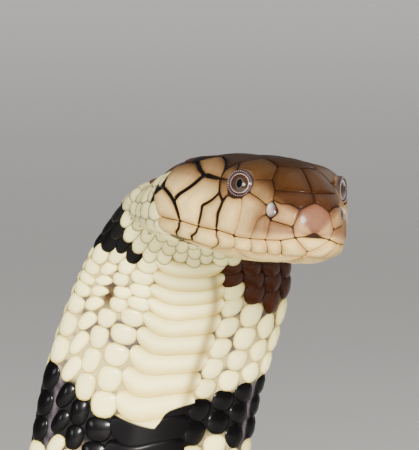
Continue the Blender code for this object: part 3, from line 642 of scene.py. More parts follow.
# Markings, as masks over the skin map: turn is 0 on the back, a quarter at the right and a half on the belly
markings = {
    "napeFront": ((0.0, 54.0), (0.27, 54.5), (0.31, 56.0), (0.34, 57.2), (0.37, 58.4), (0.40, 59.6),
                  (0.54, 62.0), (0.60, 58.5), (0.65, 57.0), (0.74, 56.5), (1.0, 54.0)),
    "napeRear": ((0.0, 66.0), (0.25, 61.2), (0.31, 60.8), (0.34, 60.6), (0.37, 60.2), (0.40, 58.9),
                 (0.54, 61.0), (0.58, 66.0), (0.64, 69.6), (0.72, 70.6), (1.0, 66.0)),
    "napeFade": (0.3, 1.2),  # mm of width over which the nape's band fades in
    "napeWorn": 0.78,  # how far the brown shows through the nape's left side
    "wornFrom": (0.5, 0.55),
    "wornTo": (0.76, 0.84),
    "napeZone": (53.0, 74.0),
    "ringFront": ((0.0, 86.5), (0.26, 89.2), (0.33, 89.6), (0.36, 91.2), (0.43, 93.6), (0.49, 94.2),
                  (0.51, 91.2), (0.57, 88.8), (0.63, 87.0), (0.69, 84.0), (0.73, 83.4), (1.0, 86.5)),
    "ringRear": ((0.0, 99.5), (0.27, 102.0), (0.33, 100.6), (0.37, 99.8), (0.41, 102.5), (0.47, 104.0),
                 (0.53, 103.0), (0.575, 98.5), (0.62, 94.8), (0.66, 94.8), (0.69, 96.4), (1.0, 99.5)),
    "edgeSoft": 0.7,  # mm to each side over which an edge fades
    "secondRing": (112.0, 127.0),
    "secondSoft": 0.3,  # mm that its edges are softer
    "bandStart": 152.0,
    "bandSpacing": 50.0,
    "bandWidth": 16.0,
    "bandEdge": 1.5,
    "bandTaper": 0.35,  # share that a band is narrower at the belly
    "taperTurn": (0.2, 0.5),
    "fullReach": 0.55,  # the bands run right round as far as fullEnd
    "fullEnd": 330.0,
    "bellyReach": 0.37,  # further back they stop short of the belly
    "reachWave": (0.05, 0.37),
    "reachEdge": (-0.02, 0.03),
    "thinBand": (1.6, 3.6),  # thin bands between the broad ones
    "thinTurn": (0.22, 0.30),
    "thinStrength": 0.7,
    "tailDark": (pose["vent"] + 40.0, pose["vent"] + 140.0),
    "tailTurn": (0.34, 0.42),
    "tailStrength": 0.75,
    "creamNeck": (0.12, 0.20),  # where the crown's brown gives way to cream behind the head
    "creamHood": (0.15, 0.21),
    "creamBody": (0.27, 0.40),
    "hoodFrom": (50.0, 62.0),
    "hoodTo": (140.0, 210.0),
}
edgeCurves = {key: smoothCurve(markings[key], 1)
              for key in ("napeFront", "napeRear", "ringFront", "ringRear")}


def foldTurn(turn):
    turn = np.mod(turn, 1.0)
    return np.minimum(turn, 1.0 - turn)


def window(value, rise, fall):
    return softStep(value, *rise) * (1.0 - softStep(value, *fall))


def between(along, first, last, soft):
    return window(along, (first - soft, first + soft), (last - soft, last + soft))


def blackMask(along, turn, rough=0.0, soft=markings["edgeSoft"]):
    marks = markings
    turn = np.mod(turn, 1.0)
    aside = foldTurn(turn)
    along = along + rough
    edges = {key: curve(turn) for key, curve in edgeCurves.items()}
    nape = between(along, edges["napeFront"], edges["napeRear"], soft)
    nape = nape * softStep(edges["napeRear"] - edges["napeFront"], *marks["napeFade"])
    worn = marks["napeWorn"] * softStep(turn, *marks["wornFrom"])
    nape = nape * (1.0 - worn * (1.0 - softStep(turn, *marks["wornTo"])))
    mask = np.maximum(nape, between(along, edges["ringFront"], edges["ringRear"], soft))
    mask = np.maximum(mask, between(along, *marks["secondRing"], marks["secondSoft"] + soft))
    cycle = np.mod(along - marks["bandStart"], marks["bandSpacing"])
    width = marks["bandWidth"] * (1.0 - marks["bandTaper"] * softStep(aside, *marks["taperTurn"]))
    offset = np.abs(cycle - 0.5 * marks["bandSpacing"])
    band = 1.0 - softStep(offset, 0.5 * width - marks["bandEdge"], 0.5 * width + marks["bandEdge"])
    sway, rate = marks["reachWave"]
    reach = marks["bellyReach"] + sway * np.sin(along * rate)
    reach = np.where(along < marks["fullEnd"], marks["fullReach"], reach)
    fadeFrom, fadeTo = marks["reachEdge"]
    band = band * (1.0 - softStep(aside, reach + fadeFrom, reach + fadeTo))
    thin = 1.0 - softStep(np.minimum(cycle, marks["bandSpacing"] - cycle), *marks["thinBand"])
    thin = thin * (1.0 - softStep(aside, *marks["thinTurn"])) * marks["thinStrength"]
    mask = np.maximum(mask, np.where(along > marks["bandStart"], np.maximum(band, thin), 0.0))
    tail = softStep(along, *marks["tailDark"]) * marks["tailStrength"]
    return np.maximum(mask, tail * (1.0 - softStep(aside, *marks["tailTurn"])))


def brownMask(along, turn):
    turn = np.mod(turn, 1.0)
    aside = foldTurn(turn)
    neck, hood, body = (1.0 - softStep(aside, *markings[key])
                        for key in ("creamNeck", "creamHood", "creamBody"))
    toHood = softStep(along, *markings["hoodFrom"])
    toBody = softStep(along, *markings["hoodTo"])
    nape = between(along, edgeCurves["napeFront"](turn), edgeCurves["napeRear"](turn), markings["edgeSoft"])
    return np.maximum((neck * (1.0 - toHood) + hood * toHood) * (1.0 - toBody) + body * toBody, nape)


# Head plates
plateRelief = {
    "sampleStep": 0.2,
    "cornerRounds": 6,  # passes that round the corners off
    "cupRounds": 18,
    "insetRings": (0.05, 0.13, 0.25),
    "insetStep": 0.01,
    "gridStep": 0.36,
    "rowShare": 0.866,
    "gridClear": 0.1,
    "mergeReach": 1e-5,
    "edgeRadius": 0.42,
    "edgeLift": -0.22,
    "topLift": 0.02,
    "crownLift": 0.36,
    "flatPlates": ("parietal", "frontal", "supraocular", "prefrontal", "internasal"),
    "flatLift": 0.16,
    "crownReach": 2.2,
    "cupLift": 0.55,  # the nostril's closed valve swells up from its rim
    "cupSink": 0.15,
    "cupRoot": -1.6,
    "rootLift": -0.75,
    "rootInset": 0.04,
    "halfSeam": 0.05,
    "lipHalfSeam": 0.055,
    # mm from the rim over which a plate's painted shade fades
    "rimShadeReach": 1.1,
    "inkGap": (0.08, 0.17),  # half widths of seam over which a plate's rim turns black
    "inkReach": (0.02, 0.20),
    "sideInk": (0.07, 0.15),
}
darkSeams = {  # half width in mm of the black seams, by corner
    "temporalCrown": 0.62, "rearTemporalTop": 0.55, "rearTemporalCorner": 0.50, "rearTemporalBack": 0.55,
    "lastLabialTop": 0.64, "cheekLow": 0.58, "cheekSeam": 0.48, "temporalLow": 0.44, "temporalBack": 0.58,
    "parietalSide": 0.34, "postocularTop": 0.22, "postocularBack": 0.16, "postocularLow": 0.26,
    "fifthLabialBack": 0.32, "lip8": 0.26, "lip7": 0.18, "fourthLabialTop": 0.24, "fourthLabialBack": 0.32,
    "lip6": 0.16, "eyeLowBack": 0.12, "lower6Back": 0.28, "lower5": 0.10, "lower7Back": 0.24, "lower6": 0.14,
    "lower7": 0.12, "lower8": 0.10, "parietalBack": 0.34, "parietalMid": 0.24, "lastLabialBack": 0.24,
    "lastLabialLow": 0.16, "supraocularBack": 0.16, "eyeTopBack": 0.14, "lipMiddle": 0.20,
}
headTones = {  # 0 cream, 1 the dark copper of the crown
    "crownEnd": 34.0,
    "creamStart": 78.0,
    "snoutBack": (4.4, 11.0),
    "snoutSide": (84.0, 94.0),
    "snoutTone": 0.52,
    "ownBlend": 0.75,  # how much of the head's own run of tone a plate keeps
    "plates": {  # tone, and how pink
        "rostral": (0.40, 0.75), "mental": (-0.06, 0.0), "prenasal": (0.42, 0.35), "internasal": (0.78, 0.1),
        "prefrontal": (0.74, 0.0), "preocular": (0.52, 0.05), "supraocular": (0.70, 0.0),
        "upperPostocular": (0.64, 0.0), "lowerPostocular": (0.54, 0.0), "frontal": (0.92, 0.0),
        "parietal": (0.90, 0.0), "temporal": (0.54, 0.0), "rearTemporal": (0.36, 0.0),
        "upperLabial1": (0.30, 0.35), "upperLabial2": (0.32, 0.2), "upperLabial3": (0.30, 0.12),
        "upperLabial4": (0.16, 0.05), "upperLabial5": (0.14, 0.0), "upperLabial6": (0.16, 0.0),
        "upperLabial7": (0.08, 0.0), "lowerLabial1": (0.04, 0.1), "lowerLabial2": (0.05, 0.12),
        "lowerLabial3": (0.04, 0.06),
    },
}
cornerPlaces = {key: mapPlace(*spot) for key, spot in headCorners.items()}
cornerPlaces.update({key: eyeRingPlace(turn) for key, turn in eyeCorners.items()})


def cornerGap(name):
    return darkSeams.get(name, plateRelief["halfSeam"])


def seamSamples(start, end, side):
    a, b = cornerPlaces[start], cornerPlaces[end]
    length = np.linalg.norm(headSkin(b) - headSkin(a))
    count = max(2, round(float(length) / plateRelief["sampleStep"]))
    shares = np.arange(count) / count
    if start in eyeCorners and end in eyeCorners:
        turn = (eyeCorners[end] - eyeCorners[start] + 180.0) % 360.0 - 180.0
        places = np.array([eyeRingPlace(eyeCorners[start] + turn * share) for share in shares])
    else:
        places = a + (b - a) * shares[:, None]
    gap = cornerGap(start) * (1.0 - shares) + cornerGap(end) * shares
    if start in lipLine and end in lipLine:
        toMiddle = np.maximum((1.0 - shares) * (start == "lipMiddle"), shares * (end == "lipMiddle"))
        gap = np.maximum(darkSeams["lipMiddle"] * toMiddle, plateRelief["lipHalfSeam"])
    return places * (side, 1.0), gap


def plateOutline(loop, rounds):
    runs = []
    for (start, startSide), (end, endSide) in zip(loop, loop[1:] + loop[:1]):
        runs.append(seamSamples(start, end, endSide if start in midline else startSide))
    places, gaps = joined(runs)
    for _ in range(rounds):
        places = 0.5 * places + 0.25 * (np.roll(places, 1, 0) + np.roll(places, -1, 0))
        gaps = 0.5 * gaps + 0.25 * (np.roll(gaps, 1) + np.roll(gaps, -1))
    area = np.sum(places[:, 0] * np.roll(places[:, 1], -1) - places[:, 1] * np.roll(places[:, 0], -1))
    return (places, gaps) if area > 0.0 else (places[::-1].copy(), gaps[::-1].copy())


def insetOutline(places, distance):
    ahead = np.roll(places, -1, 0) - np.roll(places, 1, 0)
    inward = unit(np.stack((-ahead[:, 1], ahead[:, 0]), -1))
    step = plateRelief["insetStep"]
    stretch = np.linalg.norm(headSkin(places + inward * step) - headSkin(places), axis=1) / step
    return places + inward * (distance / stretch)[:, None]


def apart(points, others):
    return np.linalg.norm(points[:, None] - others[None], axis=2)


def plateGrid(edge, edgePoints):
    low, high, middle = edge.min(0), edge.max(0), edge.mean(0)
    ways = np.eye(2) * mapStep
    stretch = min(np.linalg.norm(headSkin(middle + way) - headSkin(middle - way)) for way in ways)
    spacing = plateRelief["gridStep"] / max(stretch / (2 * mapStep), 1.0)
    xs = np.arange(low[0], high[0], spacing)
    ys = np.arange(low[1], high[1], spacing * plateRelief["rowShare"])
    grid = np.array([(x + (0.5 * spacing if k % 2 else 0.0), y) for k, y in enumerate(ys) for x in xs])
    far = apart(headSkin(grid), edgePoints).min(1)
    return grid[far > plateRelief["insetRings"][-1] + plateRelief["gridClear"]]


# Points and triangles that fill the outline made by the first so many points
def filledOutline(flat, count):
    spots, _, faces, *_ = delaunay_2d_cdt([Vector(p) for p in flat], [], [list(range(count))], 1,
                                          plateRelief["mergeReach"])
    return np.array([tuple(spot) for spot in spots]), np.array([face for face in faces if len(face) == 3])


def plateLift(away, plateName):
    relief = plateRelief
    if plateName == "nostril":
        swell = 1.0 - (1.0 - np.clip(away, 0.0, 1.0)) ** 2
        return relief["cupLift"] * swell - relief["cupSink"]
    inside = 1.0 - np.clip(away / relief["edgeRadius"], 0.0, 1.0)
    rounding = np.sqrt(np.clip(1.0 - inside ** 2, 0.0, 1.0))
    lift = relief["edgeLift"] + (relief["topLift"] - relief["edgeLift"]) * rounding
    crownLift = relief["flatLift"] if plateName in relief["flatPlates"] else relief["crownLift"]
    return lift + crownLift * (1.0 - np.exp(-(away / relief["crownReach"]) ** 2))


# One plate as a solid: its rounded top, the sides down to the roots, and the underside
def plateMesh(outline, plateName):
    relief = plateRelief
    middleLine, gaps = outline
    edge = insetOutline(middleLine, gaps)
    rings = [edge] + [insetOutline(middleLine, gaps + inset) for inset in relief["insetRings"]]
    edgePoints = headSkin(edge)
    count = len(edge)
    places, top = filledOutline(np.concatenate(rings + [plateGrid(edge, edgePoints)]), count)
    base = headSkin(places)
    reach = apart(base, edgePoints)
    away = reach.min(1)
    ink = softStep(gaps[reach.argmin(1)], *relief["inkGap"]) * (1.0 - softStep(away, *relief["inkReach"]))
    rootLift = relief["cupRoot" if plateName == "nostril" else "rootLift"]
    rootPoints = headSkin(insetOutline(edge, relief["rootInset"])) + headNormals(edge) * rootLift
    points = np.concatenate((base + headNormals(places) * plateLift(away, plateName)[:, None], rootPoints))
    first = len(base)
    rim = apart(edge, places).argmin(1)
    roots = np.arange(first, first + count)
    nextRim, nextRoots = np.roll(rim, -1), np.roll(roots, -1)
    spots, faces = filledOutline(edge, count)
    triangles = np.concatenate((
        top,
        np.stack((nextRoots, nextRim, rim), -1),
        np.stack((roots, nextRoots, rim), -1),
        first + apart(spots, edge).argmin(1)[faces[:, ::-1]],
    ))
    allPlaces = np.concatenate((places, edge))
    allAway = np.concatenate((away, np.zeros(count)))
    onTop = np.concatenate((np.ones(first), np.zeros(count)))
    allInk = np.concatenate((ink, softStep(gaps, *relief["sideInk"])))
    return points, triangles, allPlaces, allAway, onTop, allInk


def plateTone(places, plateName):
    back = np.sum(places * places, axis=1)
    if plateName == "nostril":
        # The nostril's tone: its rear is pale, partly with painted glare of its wet valve
        return 0.5 - (back - back.mean()) / (back.max() - back.min()), np.ones(len(places))
    tones = headTones
    degrees = np.abs(np.degrees(np.arctan2(places[:, 0], places[:, 1])))
    tone = 1.0 - softStep(degrees, tones["crownEnd"], tones["creamStart"])
    snout = (1.0 - softStep(back, *tones["snoutBack"])) * (1.0 - softStep(degrees, *tones["snoutSide"]))
    tone = np.maximum(tone, snout * tones["snoutTone"])
    own, pink = tones["plates"].get(plateName, (0.0, 0.0))
    if plateName in tones["plates"]:
        tone = own + tones["ownBlend"] * (tone - tone.mean())
    return tone, np.full(len(places), pink)


# The unwrapped square of the baked colours, in shares of its side
bakeMap = {
    "plateTops": 0.49,  # the plates' tops lie beside their undersides
    "used": 0.98,
    "margin": 0.01,
    "oneScale": 0.0015,
    "scuteHalf": 0.3,
}


def plateLoops():
    loops = []
    for side in (1.0, -1.0):
        for key, names in (*sidePlates.items(), ("nostril", nostrilCorners)):
            loops.append((key, [(name, side) for name in names.split()]))
    for key, names in middlePlates.items():
        right = names.split()
        loops.append((key, [(name, 1.0) for name in right] + [(name, -1.0) for name in right[-2:0:-1]]))
    return loops


def buildHeadPlates():
    parts = {"headPlates": [], "nostrils": []}
    for key, loop in plateLoops():
        isCup = key == "nostril"
        outline = plateOutline(loop, plateRelief["cupRounds" if isCup else "cornerRounds"])
        parts["nostrils" if isCup else "headPlates"].append((key, plateMesh(outline, key)))
    pieces = []
    for name, rows in parts.items():
        found, offset = [], 0
        for key, (spots, faces, places, away, onTop, ink) in rows:
            world = headToWorld(spots)
            faces = facingOut(world, faces) + offset
            offset += len(spots)
            # Painted shade: each plate darkens towards its rim, where its dome turns away
            edge = 1.0 - softStep(away, 0.0, plateRelief["rimShadeReach"])
            chance = np.full(len(spots), dice.random())
            share = places / (2.0 * math.sqrt(pose["headEnd"])) + 0.5
            uvs = np.stack((share[:, 0] * bakeMap["plateTops"] + 0.5 * (1.0 - onTop), share[:, 1]), -1)
            found.append((world, faces, uvs, *plateTone(places, key), edge, chance, ink))
        points, triangles, uvs, *masks = joined(found)
        values = dict(zip(("tone", "pink", "edge", "chance", "ink"), masks))
        pieces.append(makePiece(name, points, triangles, values, uvs))
    return pieces


# Rows of scales on the skin map
scaleRows = {
    "rows": 23,
    "start": 20.0,
    "fineStep": 0.25,
    "dropEarly": ((4, 5), (1030.0, 1110.0)),  # which rows on each side shrink away, and where
    "dropVent": ((6, 7), (1225.0, 1290.0)),
    "dropTail": ((2, 3), (1330.0, 1400.0)),
    "dropTip": ((8, 9), (1440.0, 1490.0)),
    "firstScale": 22.0,
    "tipClear": 4.0,
    "plateClear": 1.0,  # mm behind a scale's middle where the plates have to end
    "leastWidth": 0.55,
    "crowded": 0.5,  # below this share of the usual spacing, every second scale goes
    "crowdedAlong": (40.0, 120.0),
    "coilSink": 0.30,  # mm that the coil's scales lie deeper
    "coilFrom": (200.0, 260.0),
    "jawTurn": (0.27, 0.33),
    "jawAlong": (34.0, 58.0, 3.0),
    "jawStretch": 0.3,  # how much longer the scales below the jaw are
    "jawRiseAlong": (30.0, 62.0, 5.0),
    "jawRise": 0.10,  # mm that their rear edges stand higher
    "jawTuck": 0.018,  # share of the girth that scales reach under the lower labials
    "seamReach": (1.1, 0.35),  # mm of black behind the plates, on the crown's side and below
    "seamTurn": (0.15, 0.19),
    "seamEnd": 0.255,
    "seamAlong": 40.0,
}
hoodRows = {  # share of the girth that each row takes on the hood
    "inner": 0.032,  # rows 1 to 7, from the middle of the back
    "right": (0.050, 0.031, 0.037, 0.049),  # rows 8 to 11 on the snake's right
    "left": (0.050, 0.045, 0.050, 0.053),
    "slantedRow": 9,
    "slant": 0.45,
    "gapRow": 10,  # the skin folds along this row's outer side on the right flank
    "gapTurn": 0.013,
    "gapAlong": (68.0, 76.0),
    "gapSoft": 2.5,
    "spreadFrom": (54.0, 66.0),
    "spreadTo": (130.0, 200.0),
}
bareMargin = {  # a bare line along the hood's side, between two rows of scales
    "width": 0.62,
    "right": (88.0, 102.5),
    "left": (84.0, 98.0),
    "soft": 1.5,
    "row": 8,  # the line runs along this row's outer side
}
chinRows = {
    "rows": 5,
    "steps": 60,  # more than fit; those past the first belly scute are left out
    "pitchShare": 0.85,
    "firstScale": 17.0,
    "plateClear": 0.8,
    "flatten": 0.4,
}
# By the way along: mm from scale to scale, half the belly scutes' width, and how far the scales spread
pitchCurve = smoothCurve(((16.0, 2.6), (30.0, 3.9), (38.0, 4.4), (50.0, 4.2), (58.0, 3.5), (66.0, 3.6),
                          (78.0, 4.05), (95.0, 4.2), (120.0, 4.2), (170.0, 4.3), (240.0, 4.8), (450.0, 5.7),
                          (850.0, 6.1), (1225.0, 5.2), (1400.0, 4.0), (1500.0, 2.8), (1550.0, 1.9)), 1)
bellyHalfCurve = smoothCurve(((16.0, 4.0), (48.0, 4.6), (58.0, 5.4), (66.0, 6.4), (95.0, 6.5), (150.0, 6.7),
                              (240.0, 7.8), (450.0, 10.6), (850.0, 11.8), (1225.0, 8.6), (1300.0, 7.0),
                              (1400.0, 5.0), (1500.0, 2.7), (1550.0, 0.5)), 1)
spreadCurve = smoothCurve(((20.0, 0.10), (50.0, 0.12), (58.0, 0.35), (64.0, 0.9), (68.0, 1.0), (140.0, 0.95),
                           (200.0, 0.35), (260.0, 0.0), (1550.0, 0.0)), 1)
fineAlong = np.arange(scaleRows["start"], pose["totalLength"], scaleRows["fineStep"])
fineSteps = scaleRows["fineStep"] / pitchCurve(fineAlong[:-1] + 0.5 * scaleRows["fineStep"])
fineCounts = np.concatenate(([0.0], np.cumsum(fineSteps)))
bellyScuteStart = 57.0
tailScuteSpan = (pose["vent"] + 3.0, pose["totalLength"] - 8.0)
throatSkew = {
    "rows": ((0.0, 0.0), (0.40, 0.0), (0.44, 0.4), (0.465, 0.0), (0.50, -1.1), (0.53, -1.7), (0.56, -1.8),
             (0.66, -1.8), (0.74, -1.2), (0.86, 0.0), (1.0, 0.0)),
    "from": (62.0, 72.0),
    "to": (105.0, 150.0),
}
skewCurve = smoothCurve(throatSkew["rows"], 1)  # mm that the rows run askew round the throat, by turn


def hoodShare(along):
    return window(along, hoodRows["spreadFrom"], hoodRows["spreadTo"])


def coilDepth(along):
    return scaleRows["coilSink"] * softStep(along, *scaleRows["coilFrom"])


def throatTwist(along):
    return 0.5 * (sum(hoodRows["right"]) - sum(hoodRows["left"])) * hoodShare(along)


def throatSlip(along, turn):
    slip = skewCurve(np.mod(turn, 1.0)) * softStep(along, *throatSkew["from"])
    return slip * (1.0 - softStep(along, *throatSkew["to"]))


def marginGap(along, side):
    soft = bareMargin["soft"]
    hood = between(along, *bareMargin["right" if side > 0 else "left"], soft)
    return bareMargin["width"] * np.maximum(hood, between(along, *markings["secondRing"], soft))


# Share of the girth that each row takes on one side, from the middle of the back
def rowShares(along, side):
    reach = np.arange(scaleRows["rows"] // 2 + 1)
    weights = np.ones((len(along), len(reach)))
    weights[:, 0] = 0.5
    for key in ("dropEarly", "dropVent", "dropTail", "dropTip"):
        rows, (first, last) = scaleRows[key]
        weights = weights * np.where(np.isin(reach, rows), (1.0 - softStep(along, first, last))[:, None], 1.0)
    plain = weights * ((0.5 - bellyHalfCurve(along) / girth(along)) / weights.sum(1))[:, None]
    outer = hoodRows["right"] if side > 0 else hoodRows["left"]
    hood = np.array([0.5 * hoodRows["inner"]] + [hoodRows["inner"]] * 7 + list(outer))
    share = hoodShare(along)[:, None]
    return plain * (1.0 - share) + hood[None] * share


# Each of these gives the scales' places: along, turn, pitch and width; the first also row and number
def backPlaces():
    half = scaleRows["rows"] // 2
    found = []
    for place in range(-half, half + 1):
        side = 1 if place >= 0 else -1
        reach = abs(place)
        along = np.interp(np.arange(int(fineCounts[-1])) + 0.5 * (reach % 2), fineCounts, fineAlong)
        shares = rowShares(along, side)
        width = shares[:, reach] * (2.0 if reach == 0 else 1.0)
        turn = shares[:, :reach].sum(1) + 0.5 * shares[:, reach] if reach else np.zeros(len(along))
        gap = marginGap(along, side) / girth(along)
        turn = turn + gap * (0.5 if reach > bareMargin["row"] else -0.5) * (reach >= bareMargin["row"] - 1)
        if side > 0 and reach >= hoodRows["gapRow"]:
            fold = hoodRows["gapTurn"] * between(along, *hoodRows["gapAlong"], hoodRows["gapSoft"])
            turn = turn + fold * (1.0 if reach == hoodRows["gapRow"] else 0.5)
        found.append((along + throatSlip(along, side * turn), side * turn, pitchCurve(along),
                      width * girth(along), np.full(len(along), place), np.arange(len(along))))
    return joined(found)


def chinPlaces():
    count, share = chinRows["rows"], chinRows["pitchShare"]
    found = []
    for row in range(count):
        steps = np.arange(chinRows["steps"]) * share + 0.5 * share * (row % 2)
        along = np.interp(steps, fineCounts, fineAlong)
        along = along[along < bellyScuteStart + 1.0]
        width = 2.0 * bellyHalfCurve(along) / count
        turn = 0.5 + (row - count // 2) * width / girth(along) + throatTwist(along)
        found.append((along, turn, pitchCurve(along) * share, width))
    return joined(found)


def tailPlaces():
    along = np.arange(*tailScuteSpan, 1.0)
    counts = np.concatenate(([0.0], np.cumsum(1.0 / pitchCurve(along[:-1]))))
    found = []
    for side in (-1.0, 1.0):
        spots = np.interp(np.arange(int(counts[-1])) + (0.25 + 0.25 * side), counts, along)
        width = bellyHalfCurve(spots)
        found.append((spots, 0.5 + side * 0.5 * width / girth(spots), pitchCurve(spots), width))
    return joined(found)


borderNames = plateBorder.split()
borderLoop = np.array([cornerPlaces[name] for name in borderNames]
                      + [cornerPlaces[name] * (-1.0, 1.0) for name in reversed(borderNames[1:-1])])


# Whether places on the skin lie inside the head plates' border
def insideBorder(along, turn):
    world = onSkin(along, turn, np.zeros(len(along)))
    local = (world - snoutPoint) @ headTurn
    root = np.sqrt(np.maximum(-local[:, 0], 0.0))
    lipCurve = headCurves[2]
    angle = np.arctan2(-local[:, 1], local[:, 2] - lipCurve(root))
    x, y = root * np.sin(angle), root * np.cos(angle)
    inside = np.zeros(len(x), bool)
    for a, b in zip(borderLoop, np.roll(borderLoop, -1, 0)):
        crosses = ((a[1] > y) != (b[1] > y)) & (x < (b[0] - a[0]) * (y - a[1]) / (b[1] - a[1] + 1e-12) + a[0])
        inside ^= crosses
    return inside & (along < pose["headEnd"])


scaleLook = {  # pairs: on the body, and what the hood's spread adds
    "halfLength": (0.72, -0.19),
    "halfWidth": (0.64, -0.115),
    "dome": (0.14, 0.40),
    "rise": (0.16, -0.11),
    "top": (0.06, -0.04),
    "risePitch": (4.0, 1.2),  # mm of pitch with the rise as given, and how far it grows
    "cornerPower": 2.6,
    "domePower": 2.6,
    "rearNarrow": 0.12,
    "rootDepth": 0.45,
    "bendShare": (0.55, 0.45),  # where the skin bends sharply, scales are this much shorter
    "bendCosine": (0.45, 0.85),
    "jitter": 0.05,
    "sizeJitter": 0.6,
    "tiltJitter": 1.2,
    "markJitter": 10.0,
    "blackAt": (0.3, 0.6),
    "brownAt": (0.4, 0.6),
    "leastBrown": 0.04,
    # where each scale's darker rim begins and is full: outline and painted shade
    "rimAt": (0.73, 0.98),
}


def roundAngles(count):
    return np.arange(count) * 2.0 * math.pi / count


def scaleTemplate(sides, rings):
    angles = roundAngles(sides)
    power = scaleLook["cornerPower"]
    square = 1.0 / (np.abs(np.cos(angles)) ** power + np.abs(np.sin(angles)) ** power) ** (1.0 / power)
    narrow = 1.0 - scaleLook["rearNarrow"] * np.cos(angles)
    found = []
    for share, sunk in rings:
        found.append((np.cos(angles) * square * share, np.sin(angles) * square * share * narrow,
                      np.full(sides, share), np.full(sides, sunk)))
    last, top = (len(rings) - 1) * sides, len(rings) * sides
    fan = np.arange(sides)
    triangles = np.concatenate((
        tubeTriangles(len(rings), sides),
        np.stack((last + fan, last + (fan + 1) % sides, np.full(sides, top)), -1),
        capTriangles(0, sides),
    ))
    return [np.append(column, 0.0) for column in joined(found)], triangles


scaleShapes = {
    "fine": scaleTemplate(18, ((0.90, 1.0), (1.0, 0.35), (0.97, 0.0), (0.80, 0.0), (0.45, 0.0))),
    "plain": scaleTemplate(12, ((0.90, 1.0), (1.0, 0.25), (0.93, 0.0), (0.55, 0.0))),
}


def plateSeam(where, turn):
    nearHead = where.min(axis=1) < scaleRows["seamAlong"]
    turns = np.broadcast_to(turn[:, None], where.shape)[nearHead]
    crownReach, lowReach = scaleRows["seamReach"]
    reach = crownReach + (lowReach - crownReach) * softStep(foldTurn(turns), *scaleRows["seamTurn"])
    spots = np.maximum(where[nearHead] - reach, stations[0])
    mask = np.zeros(where.shape)
    onTop = foldTurn(turns) < scaleRows["seamEnd"]
    mask[nearHead] = insideBorder(spots.ravel(), turns.ravel()).reshape(turns.shape) & onTop
    return mask


def stretchAt(along, turn, pitch):
    rear, front = (onSkin(along + way * 0.5 * pitch, turn, np.zeros(len(along))) for way in (1.0, -1.0))
    return np.linalg.norm(rear - front, axis=1) / pitch


def bendRoom(along, turn, pitch):
    ends = [onSkin(along + way * pitch, turn, np.zeros(len(along))) for way in (-0.5, 0.0, 0.5)]
    first, second = unit(ends[1] - ends[0]), unit(ends[2] - ends[1])
    least, rest = scaleLook["bendShare"]
    return least + rest * softStep(np.sum(first * second, axis=1), *scaleLook["bendCosine"])


def withSpread(key, spread):
    plain, change = scaleLook[key]
    return plain + change * spread


# Black and brown of each scale: round the nape they follow the markings, elsewhere chance moves them
def scaleColours(along, turn, chance):
    look = scaleLook
    black = softStep(blackMask(along, turn, chance * look["markJitter"]), *look["blackAt"])
    brown = brownMask(along, turn)
    napeBrown = softStep(brown, *look["brownAt"])
    first, last = markings["napeZone"]
    onNape = (along > first) & (along < last) & (foldTurn(turn) > markings["creamNeck"][1])
    black = np.where(onNape & (np.mod(turn, 1.0) > 0.5), blackMask(along, turn) * napeBrown, black)
    shaken = np.clip(brown + chance * (brown > look["leastBrown"]), 0.0, 1.0)
    return black, np.where(onNape, napeBrown, shaken)


def buildScales(name, kind, span, places, flatten=1.0, row=None):
    look = scaleLook
    along, turn, pitch, width = places
    (tAlong, tAcross, tShare, tSunk), template = scaleShapes[kind]
    count, size = len(along), len(tAlong)
    spread = spreadCurve(along) * flatten
    shake = dice.normal(0.0, look["jitter"], (count, 4))
    halfLength = pitch * withSpread("halfLength", spread) * (1.0 + look["sizeJitter"] * shake[:, 0])
    halfLength = halfLength * bendRoom(along, turn, pitch)
    underJaw = between(along, *scaleRows["jawAlong"]) * softStep(foldTurn(turn), *scaleRows["jawTurn"])
    halfLength = halfLength * (1.0 + scaleRows["jawStretch"] * underJaw)
    halfWidth = width * withSpread("halfWidth", spread) * (1.0 + look["sizeJitter"] * shake[:, 1])
    tilt = shake[:, 2] * look["tiltJitter"]
    if row is not None:
        slanted = (np.abs(row) == hoodRows["slantedRow"]) * hoodShare(along)
        tilt = tilt - hoodRows["slant"] * np.sign(row) * slanted
    cosine, sine = np.cos(tilt)[:, None], np.sin(tilt)[:, None]
    x, y = tAlong[None] * halfLength[:, None], tAcross[None] * halfWidth[:, None]
    x, y = x * cosine - y * sine, x * sine + y * cosine
    dome = withSpread("dome", spread)
    rise = withSpread("rise", spread) + scaleRows["jawRise"] * between(along, *scaleRows["jawRiseAlong"])
    givenPitch, most = look["risePitch"]
    rise = rise * np.minimum(pitch / givenPitch, most)
    top = withSpread("top", spread) - coilDepth(along)
    domeCurve = 1.0 - np.clip(tShare, 0.0, 1.0) ** look["domePower"]
    lift = (top - dome)[:, None] + dome[:, None] * domeCurve[None] + rise[:, None] * tAlong[None]
    lift = lift - look["rootDepth"] * tSunk[None]
    where = np.clip(along[:, None] + x, stations[0], stations[-1])
    points = onSkin(where, turn[:, None] + y / girth(where), lift).reshape(-1, 3)
    black, brown = scaleColours(along, turn, shake[:, 3])
    values = {
        "band": np.maximum(np.repeat(black, size), plateSeam(where, turn).ravel()),
        "brown": np.repeat(brown, size),
        "chance": np.repeat(dice.random(count), size),
        # the rim: a dark outline and painted shade where the dome turns away
        "edge": np.tile(softStep(tShare, *look["rimAt"]), count),
        "pad": np.repeat(spread, size),
    }
    first, last = span
    root = np.stack((np.mod(turn + 0.5, 1.0), (along - first) / (last - first)), -1)
    root = root * bakeMap["used"] + bakeMap["margin"]
    own = np.stack((tAcross, tAlong), -1) * bakeMap["oneScale"]
    uvs = (root[:, None] + own[None]).reshape(-1, 2)
    triangles = facingOut(points[:size], template)
    return makePiece(name, points, repeated(triangles, count, size), values, uvs)


def thinOut(along, turn, pitch, width, row, number):
    first, last = scaleRows["crowdedAlong"]
    crowded = (stretchAt(along, turn, pitch) < scaleRows["crowded"]) & (along > first) & (along < last)
    pitch = np.where(crowded, 2.0 * pitch, pitch)
    keep = ~crowded | (number % 2 == 0)
    return [x[keep] for x in (along, turn, pitch, width, row)]


